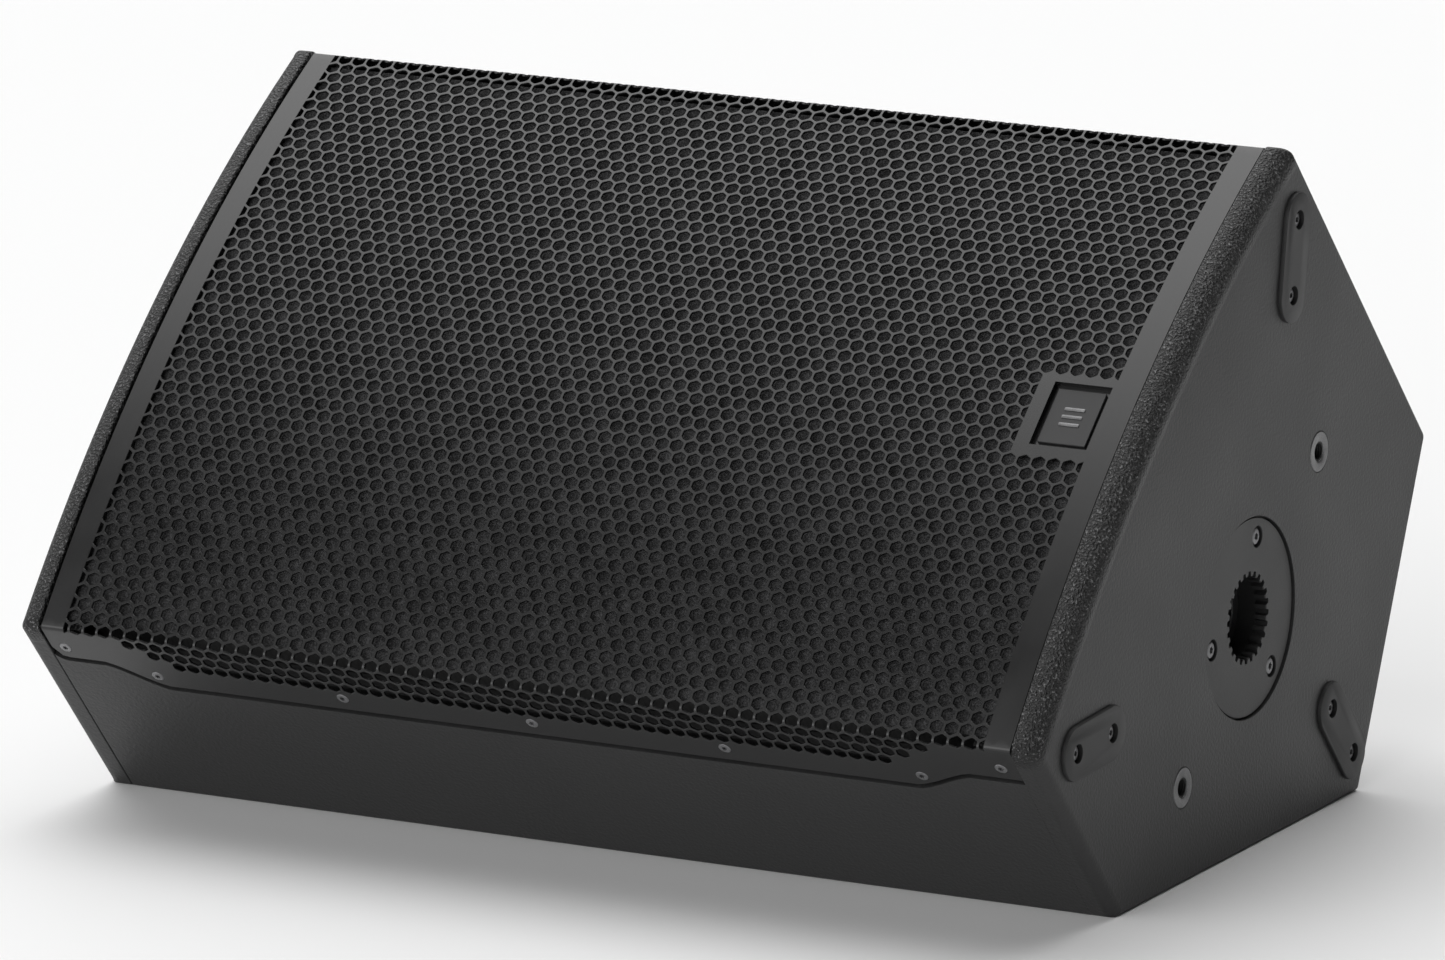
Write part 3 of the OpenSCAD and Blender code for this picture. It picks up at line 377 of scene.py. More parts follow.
FINISHES = {
    "cabinet_paint": dict(color=(0.0215, 0.0215, 0.0218), rough=0.46, spec=0.42, vary=0.14, vary_scale=14,
        grain=520, bump=0.55, bump_size=0.0006, detail=2.5),
    "grille_steel": dict(color=(0.007, 0.007, 0.0072), rough=0.22, vary=0.2, vary_scale=30, grain=2600,
        bump=0.12),
    "foam": dict(color=(0.046, 0.046, 0.047), rough=0.95, spec=0.1, vary=0.6, vary_scale=90, grain=1100,
        bump=0.9, bump_size=0.001, kind=CELLS),
    "black_screws": dict(color=(0.20, 0.20, 0.205), rough=0.42, metal=0.75, vary_scale=200, grain=1800,
        bump=0.15),
    "badge_metal": dict(color=(0.018, 0.018, 0.0185), rough=0.42, metal=0.2, vary=0.12, grain=1500,
        bump=0.06, bump_size=0.0001),
    "cup_casting": dict(color=(0.0212, 0.0212, 0.0215), rough=0.47, spec=0.42, vary_scale=40, grain=1500,
        bump=0.3, bump_size=0.0003),
    "insert_zinc": dict(color=(0.17, 0.17, 0.172), rough=0.42, metal=0.85, vary=0.35, vary_scale=150,
        grain=1600, bump=0.15),
    "insert_thread": dict(color=(0.012, 0.012, 0.012), rough=0.6, metal=0.3, grain=1600, bump=0.15,
        bump_size=0.0004),
    "foot_rubber": dict(color=(0.0215, 0.0215, 0.0218), rough=0.5, spec=0.42, grain=2200, bump=0.2),
    "plate_plastic": dict(color=(0.028, 0.028, 0.029), rough=0.52, grain=1400, bump=0.3, bump_size=0.0003),
    "socket_plastic": dict(color=(0.022, 0.03, 0.045), rough=0.34),
    "switch_plastic": dict(color=(0.42, 0.05, 0.04), rough=0.35, vary=0.12),
    "handle_rubber": dict(color=(0.022, 0.022, 0.022), rough=0.66, spec=0.35, bump=0.35, bump_size=0.0005,
        kind=CELLS),
    "baffle_paint": dict(color=(0.008, 0.008, 0.008), rough=0.75, grain=300, bump=0.25, bump_size=0.0004,
        kind=WAVE, stretch=(0.3, 3, 3)),
    "bare_plywood": dict(color=(0.50, 0.36, 0.21), rough=0.68, grain=60, bump=0.2, bump_size=0.0004,
        kind=WAVE, stretch=(0.25, 3, 3), light=(0.62, 0.47, 0.30)),
    "basket_steel": dict(color=(0.03, 0.03, 0.033), rough=0.34, grain=1300, bump=0.12, coat=0.2),
    "cone_paper": dict(color=(0.022, 0.022, 0.022), rough=0.8, spec=0.3, grain=420, bump=0.5,
        bump_size=0.0005, detail=6),
    "surround_cloth": dict(color=(0.016, 0.016, 0.016), rough=0.55, bump=0.4, bump_size=0.0004, kind=CELLS,
        sheen=0.2),
    "spider_cloth": dict(color=(0.55, 0.38, 0.17), rough=0.75, grain=1200, bump=0.6, bump_size=0.0004,
        kind=CELLS),
    "coil_copper": dict(color=(0.70, 0.36, 0.18), rough=0.3, metal=0.9, grain=420, bump=0.5,
        bump_size=0.0004, kind=WAVE, stretch=(0.2, 0.2, 4)),
    "magnet_ferrite": dict(color=(0.05, 0.05, 0.053), rough=0.6, grain=700, bump=0.35, bump_size=0.0005),
    "plate_steel": dict(color=(0.5, 0.5, 0.51), rough=0.36, metal=0.95, grain=500, bump=0.12, kind=WAVE,
        stretch=(0.3, 3, 1)),
    "horn_plastic": dict(color=(0.022, 0.022, 0.022), rough=0.5, grain=1300, bump=0.25, bump_size=0.0003),
    "dome_metal": dict(color=(0.62, 0.62, 0.64), rough=0.28, metal=1.0, vary=0.08),
    "port_plastic": dict(color=(0.025, 0.025, 0.025), rough=0.55, grain=1300, bump=0.25, bump_size=0.0003),
    "board": dict(color=(0.05, 0.19, 0.08), rough=0.4, grain=220, bump=0.1, kind=WAVE),
    "ceramic_body": dict(color=(0.68, 0.66, 0.6), rough=0.85, vary=0.1, bump=0.5, bump_size=0.0004),
    "capacitor_film": dict(color=(0.05, 0.11, 0.26), rough=0.32, grain=500),
    "wire_red": dict(color=(0.4, 0.03, 0.03), rough=0.45, bump=0.1),
    "wadding": dict(color=(0.62, 0.59, 0.52), rough=0.95, spec=0.15, vary=0.12, grain=160, bump=1.0,
        bump_size=0.003, detail=8, sheen=0.3),
}
MATERIALS = {name: finish_material(name, **finish) for name, finish in FINISHES.items()}


RIM_BAND = (15.5, 8.0)
SPLATTER_SIZE = 720
SPLATTER_RELIEF = 0.0022
# The pale splatter tips are painted glints, and the rim darkening is painted shade.
SPLATTER_GLINT_RANGE = (0.60, 0.70)
SPLATTER_PAINTED_GLINT = (0.15, 0.15, 0.152, 1)
SPLATTER_PAINTED_SHADE = 0.7


def rim_splatter_and_painted_light(mat):
    """Coarse splatter in the paint near the curved rim, and none on the flat faces; the splatter is relief,
    while the rim band's colour is darkened as painted shade and its raised tips are paled as painted glints.
    """
    base = mat.node_tree.nodes["Principled BSDF"].inputs["Base Color"]
    where = add_node(mat, "TexCoord").outputs["Object"]
    flat = add_node(mat, "VectorMath", {0: where, 1: (0, 1, 1)}, operation="MULTIPLY").outputs["Vector"]
    centre = (0, RIM_CENTRE.x * MM, RIM_CENTRE.y * MM)
    radius = add_node(mat, "VectorMath", {0: flat, 1: centre}, operation="DISTANCE").outputs["Value"]
    first, full = [(RIM_R - depth) * MM for depth in RIM_BAND]
    band = add_node(mat, "MapRange", {"Value": radius, "From Min": first, "From Max": full})
    band = band.outputs["Result"]
    drops = add_node(mat, NOISE, {"Scale": SPLATTER_SIZE, "Detail": 1.5, "Vector": where}).outputs["Fac"]
    raised = add_node(mat, "Math", {0: drops, 1: band}, operation="MULTIPLY").outputs["Value"]
    add_bump(mat, raised, 1.0, SPLATTER_RELIEF)
    # Painted glints: the highest splatter tips are mixed toward a pale colour.
    low, high = SPLATTER_GLINT_RANGE
    tips = add_node(mat, "MapRange", {"Value": raised, "From Min": low, "From Max": high})
    # Painted shade: the base colour is darkened across the rim band, standing in for the splatter's
    # self-shadowing.
    shade = add_node(mat, "MapRange", {"Value": band, "To Min": 1.0, "To Max": 1.0 - SPLATTER_PAINTED_SHADE})
    inputs = {0: base.links[0].from_socket, "Scale": shade.outputs["Result"]}
    painted_shade_base = add_node(mat, "VectorMath", inputs, operation="SCALE").outputs["Vector"]
    inputs = {0: tips.outputs["Result"], 6: painted_shade_base, 7: SPLATTER_PAINTED_GLINT}
    painted_light_mix = add_node(mat, "Mix", inputs, data_type="RGBA")
    mat.node_tree.links.new(painted_light_mix.outputs[2], base)


rim_splatter_and_painted_light(MATERIALS["cabinet_paint"])


def finish_carried_nodes():
    """Gives every CAD node the finish of its slot."""
    slots = {row["node"]: row["material_slot"] for row in frame["record"]["subparts"]}
    for name, obj in frame["nodes"].items():
        material = MATERIALS[slots[name]]
        if not obj.material_slots:
            obj.data.materials.append(material)
        for place in obj.material_slots:
            place.material = material


finish_carried_nodes()

# ---- End panels ----
RIM_ROUND = 12.4
EDGE_ROUND = 7.0
REST_ROUND = 3.2
INNER_ROUNDS = {1: (0.2, 2.4, 0.8), -1: (0.7, 1.2, 0.8)}
CORNER_IN_PLANE = {"A": 3.5, "B": 7.5, "C": 7.5, "D": 4.5, "E": 3.5}
ROUND_STEPS = 9
INNER_STEPS = 4
SHARPEST = 0.25
RIM_NEAR = (0.02, 0.04)
RIM_FROM, RIM_PART, RIM_STEPS = 0.03, 0.9, 48


def circle_meets_line(radius, p, v, near):
    """Where a line crosses the circle about the rim's centre, nearest to a point."""
    q = p - RIM_CENTRE
    half = q.dot(v)
    root = math.sqrt(half * half - q.length_squared + radius * radius)
    found = [p + v * (-half + s * root) for s in (-1, 1)]
    return min(found, key=lambda point: (point - near).length)


def end_outline(front, rim, rest):
    """The end's outline with each kind of side moved inward, and how far each point is front or rim."""
    v_front, v_upper, v_rear = along(FRONT_ANGLE), along(UPPER_ANGLE), along(REAR_ANGLE)
    a = meet(A + inward(v_front) * front, v_front, A + Vector((0, rest)), Vector((1, 0)))
    b = circle_meets_line(RIM_R - rim, A + inward(v_front) * front, v_front, B)
    c = circle_meets_line(RIM_R - rim, C + inward(v_upper) * rest, v_upper, C)
    d = meet(C + inward(v_upper) * rest, v_upper, D + inward(v_rear) * rest, v_rear)
    e = meet(D + inward(v_rear) * rest, v_rear, E + Vector((0, rest)), Vector((1, 0)))
    turn_b = math.atan2(*(b - RIM_CENTRE).yx)
    turn_c = math.atan2(*(c - RIM_CENTRE).yx)
    radius = RIM_R - rim

    def on_arc(turn):
        return RIM_CENTRE + radius * Vector((math.cos(turn), math.sin(turn)))

    def eased(name, moved):
        return max(SHARPEST, CORNER_IN_PLANE[name] - moved)

    span = turn_c - turn_b
    near_b, near_c = on_arc(turn_b + span * RIM_NEAR[0]), on_arc(turn_c - span * RIM_NEAR[1])
    points, kinds = [], []

    def add(found, first, last):
        count = max(1, len(found) - 1)
        for i, point in enumerate(found):
            t = i / count
            points.append(point)
            kinds.append([first[k] * (1 - t) + last[k] * t for k in range(3)])

    FRONT, RIM, REST = (1, 0, 0), (0, 1, 0), (0, 0, 1)
    add(rounded(e, a, b, eased("A", rest)), REST, FRONT)
    add(rounded(a, b, near_b, eased("B", (front + rim) / 2)), FRONT, RIM)
    middle = [RIM_FROM + RIM_PART * i / RIM_STEPS for i in range(RIM_STEPS + 1)]
    add([on_arc(turn_b + span * part) for part in middle], RIM, RIM)
    add(rounded(near_c, c, d, eased("C", (rest + rim) / 2)), RIM, REST)
    add(rounded(c, d, e, eased("D", rest)), REST, REST)
    add(rounded(d, e, a, eased("E", rest)), REST, REST)
    return points, kinds


def end_loop(side, turn, inner=False):
    """One loop of the outer round-over, or of the small inner one."""
    rounds = INNER_ROUNDS[side] if inner else (EDGE_ROUND, RIM_ROUND, REST_ROUND)
    moved = [r * (1 - math.sin(turn)) for r in rounds]
    sunk = [r * (1 - math.cos(turn)) for r in rounds]
    points, kinds = end_outline(*moved)
    loop = []
    for p, kind in zip(points, kinds):
        depth = sum(k * s for k, s in zip(kind, sunk))
        x = INNER_X + depth if inner else HALF_W - depth
        loop.append((side * x, p.x, p.y))
    return loop


def end_blank(side):
    turns = [math.pi / 2 * i / ROUND_STEPS for i in range(ROUND_STEPS + 1)]
    outer = [end_loop(side, t) for t in turns]
    inner_turns = [math.pi / 2 * i / INNER_STEPS for i in range(INNER_STEPS, -1, -1)]
    inner = [end_loop(side, t, inner=True) for t in inner_turns]
    bm = skin(outer + inner)
    bmesh.ops.remove_doubles(bm, verts=bm.verts, dist=0.004)
    bmesh.ops.recalc_face_normals(bm, faces=bm.faces)
    return bm


CUP_Y, CUP_Z = 160.0, 128.0
CUP_FLANGE_D = 109.0
CUP_RECESS = 4.0
CUP_BORE_R = 37.5
INSERT_SITES = [(78.7, 52.9), (244.8, 202.3)]
INSERT_FLANGE_D = 22.5
INSERT_BORE_R, INSERT_RECESS = 8.2, 1.2
HANDLE_Y, HANDLE_Z = 145.0, 172.0
HANDLE_L, HANDLE_H = 140.0, 84.0
HANDLE_RIM = 13.0
FOOT_SITES = [(211.2, 316.4, 80.3), (-28.2, 102.3, 2.5), (272.8, 40, -49)]
FOOT_H, FOOT_W, FOOT_PITCH = 2.2, 30.0, 41.0
FOOT_BORE_R, FOOT_BORE = 5.3, 2.2


def foot_places():
    return [on_end(1, y, z) @ turned(turn) for y, z, turn in FOOT_SITES]


def foot_screw_sites():
    reach = FOOT_PITCH / 2
    return [place @ slid(x) for place in foot_places() for x in (-reach, reach)]


def insert_bore():
    r = INSERT_FLANGE_D / 2
    return lathe([(INSERT_BORE_R, -PANEL_T - 1), (INSERT_BORE_R, -INSERT_RECESS), (r + 0.1, -INSERT_RECESS),
                  (r + 0.1, -0.25), (r + 0.5, 0.2)])


def cup_bore():
    r = CUP_FLANGE_D / 2 + 0.9
    return lathe([(CUP_BORE_R, -PANEL_T - 1), (CUP_BORE_R, -CUP_RECESS), (r, -CUP_RECESS), (r, -0.2),
                  (r + 0.3, 0.1)], 128)


def handle_opening():
    wide, high = HANDLE_L + 2 * HANDLE_RIM + 0.8, HANDLE_H + 2 * HANDLE_RIM + 0.8
    return oblongs([(HANDLE_L, HANDLE_H, 8, -PANEL_T - 1), (HANDLE_L, HANDLE_H, 8, -3), (wide, high, 9, -3),
                    (wide, high, 9, 1)])


def end_panel(side, name, replaced):
    tools = [(insert_bore(), on_end(side, y, z)) for y, z in INSERT_SITES]
    if side > 0:
        tools.append((cup_bore(), on_end(side, CUP_Y, CUP_Z)))
        tools += [(disc_tool(FOOT_BORE_R, 0.3, -FOOT_BORE, 32), site) for site in foot_screw_sites()]
    else:
        tools.append((handle_opening(), on_end(side, HANDLE_Y, HANDLE_Z)))
    make_object(name, cut(end_blank(side), joined(tools)), "cabinet_paint", [replaced])


end_panel(1, "right_end_board", "right_end_panel")
end_panel(-1, "left_end_board", "left_end_panel")

# ---- The other panels ----
CORNER_R = 3.5
CORNER_HALF = 5
FLANGE_MID, FLANGE_END = 104.0, 120.0
FLANGE_CURVE = (229.5, 264.5)
FLANGE_CORNER = 8.0
FLANGE_CORNER_STEPS = 8
FLANGE_SINK = 0.3
UPPER_SINK = 2.8
POCKET = 4.6
SHADOW_GAP = 3.2
LEFT_SEAM = 0.7
RECESS_HALF, RECESS_UP, RECESS_DEPTH = 272.0, 118.6, 30.0
CUT_BACK = 6.0
PAST_FACE = 20.0
PLATE_W, PLATE_H = 170.0, 110.0
PLATE_LIP = 12.0
PLATE_BORDER = 34.0


def flange_edge(x):
    """How far up its face a flange's lower edge lies: an S between two levels."""
    t = (abs(x) - FLANGE_CURVE[0]) / (FLANGE_CURVE[1] - FLANGE_CURVE[0])
    t = min(1, max(0, t))
    t = (t + t * t * (3 - 2 * t)) / 2
    over = max(0, min(FLANGE_CORNER, -x - GRILLE_X + FLANGE_CORNER))
    corner = FLANGE_CORNER - math.sqrt(FLANGE_CORNER ** 2 - over ** 2)
    return FLANGE_MID + (FLANGE_END - FLANGE_MID) * t + corner


def half_corner(i, first):
    """The half of a rounded corner that belongs to the panel before it, or after it."""
    arc = rounded(CORNERS[i - 1], CORNERS[i], CORNERS[(i + 1) % 5], CORNER_R, 2 * CORNER_HALF)
    return arc[:CORNER_HALF + 1] if first else arc[CORNER_HALF:]


def section(points, x0, x1):
    return skin([[(x, p.x, p.y) for p in points] for x in (x0, x1)])


def on_outline(outline, bottom, top):
    """A closed form over an outline drawn on a face, between two levels."""
    return skin([[(x, up, z) for x, up in outline] for z in (bottom, top)])


def pocket_tool():
    """What a flange's pocket takes off its panel: the S edge, a shadow gap lower."""
    span = FLANGE_CURVE[1] - FLANGE_CURVE[0]
    xs = [FLANGE_CURVE[0] + span * i / 28 for i in range(29)]
    half = [(x, flange_edge(x) - SHADOW_GAP) for x in xs]
    centre = (GRILLE_X - FLANGE_CORNER, FLANGE_END + FLANGE_CORNER)
    wide = FLANGE_CORNER + SHADOW_GAP
    turns = [math.radians(-90 + 9 * i) for i in range(10)]
    corner = [(-centre[0] - wide * math.cos(t), centre[1] + wide * math.sin(t)) for t in turns]
    reach, top = INNER_X + 1, FRONT_LEN + PAST_FACE
    left = [(-x, up) for x, up in half] + corner + [(-reach, centre[1]), (-reach, top)]
    outline = left[::-1] + half + [(reach, FLANGE_END - SHADOW_GAP), (reach, top)]
    return on_outline(outline, -POCKET, 1)


def recess_tool():
    """The opening behind the flange's holes, clear of its screws."""
    top = FRONT_LEN + PAST_FACE
    low, high = (-RECESS_HALF, RECESS_HALF), (RECESS_HALF, -RECESS_HALF)
    return on_outline([(x, RECESS_UP) for x in low] + [(x, top) for x in high], -RECESS_DEPTH, 2)


def flanged_panel(name, replaced, points, place):
    bm = cut(section(points, LEFT_SEAM - INNER_X, INNER_X), joined([(pocket_tool(), place)]))
    bm = cut(bm, joined([(recess_tool(), place)]))
    make_object(name, bm, "cabinet_paint", [replaced])


def make_panels():
    top = A + along(FRONT_ANGLE) * (FRONT_LEN - CUT_BACK)
    under = top + inward(along(FRONT_ANGLE)) * PANEL_T
    front = half_corner(0, False) + [top, under, inset(0, PANEL_T)]
    flanged_panel("lower_front_board", "lower_front_panel", front, ON_FRONT)
    back = C + along(UPPER_ANGLE) * CUT_BACK
    behind = back + inward(along(UPPER_ANGLE)) * PANEL_T
    upper = [back] + half_corner(3, True) + [inset(3, PANEL_T), behind]
    flanged_panel("upper_rear_board", "upper_rear_panel", upper, ON_UPPER_FLANGE)
    floor = half_corner(4, False) + half_corner(0, True) + [inset(0, PANEL_T), inset(4, PANEL_T)]
    make_object("floor_board", section(floor, -INNER_X, INNER_X), "cabinet_paint", ["floor_panel"])
    rear = half_corner(3, False) + half_corner(4, True) + [inset(4, PANEL_T), inset(3, PANEL_T)]
    hole = box_tool(PLATE_W - 2 * PLATE_LIP, PLATE_H - 2 * PLATE_LIP, 5, -PANEL_T - 5, 4)
    bm = cut(section(rear, -INNER_X, INNER_X), joined([(hole, ON_PLATE)]))
    make_object("rear_board", bm, "cabinet_paint", ["rear_panel"])


make_panels()

# ---- Grille ----
PITCH = 8.81
ROW = 7.67
STRETCH = ROW / (PITCH * math.sqrt(3) / 2)
FIRST_ROW = 1.14
CELL_R = PITCH / math.sqrt(3)
HOLE_APOTHEM = 0.405 * PITCH
HOLE_ROUND = 1.5
CHAMFER = 0.22
PERFORATED_X = 280.85
LAST_ROW = 52
SHEET_ROWS = range(-8, 63)
SHEET_COLUMNS = range(-35, 36)
SLIVER = 1e-4
LEVEL_TOL, EDGE_TOL = 1e-3, 1e-2
FOLD_R = (2.4, 1.3)
FOLD_STEPS = 6
FLANGE_ROWS = {1: 27.6, 2: 26.1, 3: 24.6}
SCREW_SITES = [(-286, 128.7), (-234, 112.2), (-117, 114.0), (0, 114.0), (117, 114.0), (234, 112.2),
               (286, 128.7)]
SCREW_WINDOW = 5.4
WINDOW_REACH = 8.0
SCREW_HOLE_R = 3.75
SCREW_HOLE_SIDES = 32
BADGE_X = 262.9
BADGE_SHIFT = 1.0
BADGE_ROWS = (22, 30)
BADGE_LEFT = 27 * PITCH - 1.05
BADGE_HOLE = (34.0, 41.5)
BADGE_SINK = 3.2


def grille_path():
    """Where the flat sheet's length goes: flange, fold, curved face, fold, flange."""
    v0, v1 = along(FRONT_ANGLE), along(UPPER_ANGLE)
    n0, n1 = -inward(v0), -inward(v1)
    low = circle_meets_line(GRILLE_R - FOLD_R[0], A - n0 * (FLANGE_SINK + FOLD_R[0]), v0, B)
    high = circle_meets_line(GRILLE_R - FOLD_R[1], C - n1 * (UPPER_SINK + FOLD_R[1]), v1, C)
    turn = [math.atan2(n.y, n.x) for n in (n0, low - RIM_CENTRE, high - RIM_CENTRE, n1)]
    if turn[0] < 0:
        turn[0] += 2 * math.pi
    fold_low, fold_high = FOLD_R[0] * (turn[0] - turn[1]), FOLD_R[1] * (turn[2] - turn[3])
    face = GRILLE_R * (turn[1] - turn[2])
    ends = [-fold_low / 2, fold_low / 2, fold_low / 2 + face, fold_low / 2 + face + fold_high]
    return {"v": (v0, v1), "n": (n0, n1), "centre": (low, high), "turn": turn, "ends": ends}


PATH = grille_path()


def on_path(s, depth):
    """The cross-section point at a length along the sheet and a depth below its outside."""
    ends, turn, centre = PATH["ends"], PATH["turn"], PATH["centre"]
    if s <= ends[0]:
        start = centre[0] + PATH["n"][0] * (FOLD_R[0] - depth)
        return start + PATH["v"][0] * (s - ends[0])
    if s >= ends[3]:
        start = centre[1] + PATH["n"][1] * (FOLD_R[1] - depth)
        return start + PATH["v"][1] * (s - ends[3])
    if s < ends[1]:
        angle, middle, radius = turn[0] - (s - ends[0]) / FOLD_R[0], centre[0], FOLD_R[0]
    elif s > ends[2]:
        angle, middle, radius = turn[2] - (s - ends[2]) / FOLD_R[1], centre[1], FOLD_R[1]
    else:
        angle, middle, radius = turn[1] - (s - ends[1]) / GRILLE_R, RIM_CENTRE, GRILLE_R
    return middle + (radius - depth) * Vector((math.cos(angle), math.sin(angle)))


def up_to_length(up, lower=True):
    """Length along the sheet of a place up the lower flange, or down the upper one."""
    if lower:
        tangent = (PATH["centre"][0] - A).dot(PATH["v"][0])
        return PATH["ends"][0] - (tangent - up)
    tangent = FRONT_LEN - (PATH["centre"][1] - C).dot(PATH["v"][1])
    return PATH["ends"][3] + (tangent - up)


def row_at(k):
    return FIRST_ROW + k * ROW


def hole_outline(cx, cy, grow=0.0):
    """A hexagon with round corners, three points to a corner."""
    reach = (HOLE_APOTHEM - HOLE_ROUND) / math.cos(math.radians(30))
    radius = HOLE_ROUND + grow
    points = []
    for corner in range(6):
        facing = math.radians(30 + 60 * corner)
        x, y = cx + reach * math.cos(facing), cy + reach * math.sin(facing)
        for lean in (-30, 0, 30):
            a = facing + math.radians(lean)
            points.append((x + radius * math.cos(a), cy + (y + radius * math.sin(a) - cy) * STRETCH))
    return points


def clipped(points, limit, sign):
    """The part of a convex outline whose x times sign is below a limit."""
    out = []
    for (x0, y0), (x1, y1) in zip(points, points[1:] + points[:1]):
        in0, in1 = sign * x0 <= limit, sign * x1 <= limit
        if in0:
            out.append((x0, y0))
        if in0 != in1:
            t = (sign * limit - x0) / (x1 - x0)
            out.append((sign * limit, y0 + t * (y1 - y0)))
    return out


def zipped(a, turn_a, b, turn_b):
    """Triangles between an outer and an inner ring, each with the turn of every point, rising."""
    full = 2 * math.pi
    i = j = 0
    while i < len(a) or j < len(b):
        next_a = turn_a[i + 1] if i + 1 < len(a) else turn_a[0] + full
        next_b = turn_b[j + 1] if j + 1 < len(b) else turn_b[0] + full
        at_a, at_b = a[i % len(a)], b[j % len(b)]
        if j >= len(b) or (i < len(a) and next_a <= next_b):
            yield at_a, a[(i + 1) % len(a)], at_b
            i += 1
        else:
            yield at_a, b[(j + 1) % len(b)], at_b
            j += 1


class Sheet:
    """A flat sheet in millimetres, built from cells that share their corners."""

    def __init__(self):
        self.points, self.index, self.faces = [], {}, []

    def point(self, x, y, z):
        key = (round(x * 200), round(y * 200), round(z * 200))
        if key not in self.index:
            self.index[key] = len(self.points)
            self.points.append((x, y, z))
        return self.index[key]

    def ring(self, points, z):
        return [self.point(x, y, z) for x, y in points]

    def face(self, *corners):
        kept = [c for i, c in enumerate(corners) if c != corners[i - 1]]
        if len(set(kept)) > 2:
            self.faces.append(kept)

    def band(self, outer, inner):
        """Quads between two rings of equal count."""
        for i in range(len(outer)):
            k = (i + 1) % len(outer)
            self.face(outer[i], outer[k], inner[k], inner[i])

    def web(self, corners, hole):
        """Between a cell's six corners and a hole of three points to a corner."""
        for j in range(6):
            k = (j + 1) % 6
            self.face(corners[j], hole[3 * j + 1], hole[3 * j])
            self.face(corners[j], hole[3 * j + 2], hole[3 * j + 1])
            self.face(corners[j], corners[k], hole[3 * k], hole[3 * j + 2])

    def zip_rings(self, outer, inner):
        """Triangles between two nested convex rings of any count."""
        cx = sum(self.points[i][0] for i in inner) / len(inner)
        cy = sum(self.points[i][1] for i in inner) / len(inner)

        def angles(ring):
            found = [math.atan2(self.points[i][1] - cy, self.points[i][0] - cx) for i in ring]
            first = found.index(min(found))
            return ring[first:] + ring[:first], found[first:] + found[:first]

        for corners in zipped(*angles(outer), *angles(inner)):
            self.face(*corners)


def cell_corners(cx, cy):
    turns = [math.radians(30 + 60 * j) for j in range(6)]
    return [(cx + CELL_R * math.cos(turn), cy + CELL_R * STRETCH * math.sin(turn)) for turn in turns]


def perforated(k, cx):
    """Whether the sheet has a hole, whole or cut off, in the cell of that row and place."""
    if BADGE_ROWS[0] < k < BADGE_ROWS[1] and cx > BADGE_LEFT + HOLE_APOTHEM:
        return False
    if k < 0:
        return -k in FLANGE_ROWS and abs(cx) < FLANGE_ROWS[-k] * PITCH
    return k <= LAST_ROW and abs(cx) - HOLE_APOTHEM < PERFORATED_X - 1


def keep_inside(x, s):
    """Corners past the sheet's edge move onto it."""
    x = max(-GRILLE_X, min(GRILLE_RIGHT, x))
    edge = flange_edge(x)
    return x, max(up_to_length(edge), min(up_to_length(edge, lower=False), s))


def add_cell(sheet, k, cx):
    cy = row_at(k)
    corners = [keep_inside(x, y) for x, y in cell_corners(cx, cy)]
    front, back = sheet.ring(corners, 0), sheet.ring(corners, -GRILLE_T)
    if not perforated(k, cx):
        sheet.face(*front)
        sheet.face(*reversed(back))
        return
    rim, wall = hole_outline(cx, cy, CHAMFER), hole_outline(cx, cy)
    sign = 1 if cx > 0 else -1
    in_badge = BADGE_ROWS[0] < k < BADGE_ROWS[1] and cx > 0
    limit = BADGE_LEFT if in_badge else PERFORATED_X
    if abs(cx) + HOLE_APOTHEM + CHAMFER < limit:
        rings = [sheet.ring(rim, 0), sheet.ring(wall, -CHAMFER), sheet.ring(wall, -GRILLE_T)]
        sheet.web(front, rings[0])
        sheet.band(rings[0], rings[1])
        sheet.band(rings[1], rings[2])
        sheet.web(back, rings[2])
        return
    rim, wall = clipped(rim, limit + CHAMFER, sign), clipped(wall, limit, sign)
    rings = [sheet.ring(rim, 0), sheet.ring(wall, -CHAMFER), sheet.ring(wall, -GRILLE_T)]
    sheet.zip_rings(front, rings[0])
    sheet.zip_rings(rings[0], rings[1])
    sheet.band(rings[1], rings[2])
    sheet.zip_rings(back, rings[2])


def flat_grille():
    sheet = Sheet()
    for k in SHEET_ROWS:
        shift = 0.5 if k % 2 else 0
        for i in SHEET_COLUMNS:
            cx = (i + shift) * PITCH
            if abs(cx) < GRILLE_X + PITCH:
                add_cell(sheet, k, cx)
    bm = bmesh.new()
    verts = [bm.verts.new(p) for p in sheet.points]
    for corners in sheet.faces:
        try:
            bm.faces.new([verts[i] for i in corners])
        except ValueError:
            continue
    flat = [f for f in bm.faces if f.calc_area() < SLIVER]
    bmesh.ops.delete(bm, geom=flat, context="FACES")
    return bm


def slice_sheet(bm, low, high, lines, axis):
    """Cuts the faces between two lengths along lines across the sheet, or along it."""
    for value in lines:
        faces = []
        for f in bm.faces:
            middle = f.calc_center_median()
            if low[0] < middle.x < high[0] and low[1] < middle.y < high[1]:
                faces.append(f)
        verts, edges = {v for f in faces for v in f.verts}, {e for f in faces for e in f.edges}
        normal = (1, 0, 0) if axis == 0 else (0, 1, 0)
        bmesh.ops.bisect_plane(bm, geom=list(verts) + list(edges) + faces, dist=1e-4,
                               plane_co=(value * normal[0], value * normal[1], 0), plane_no=normal)


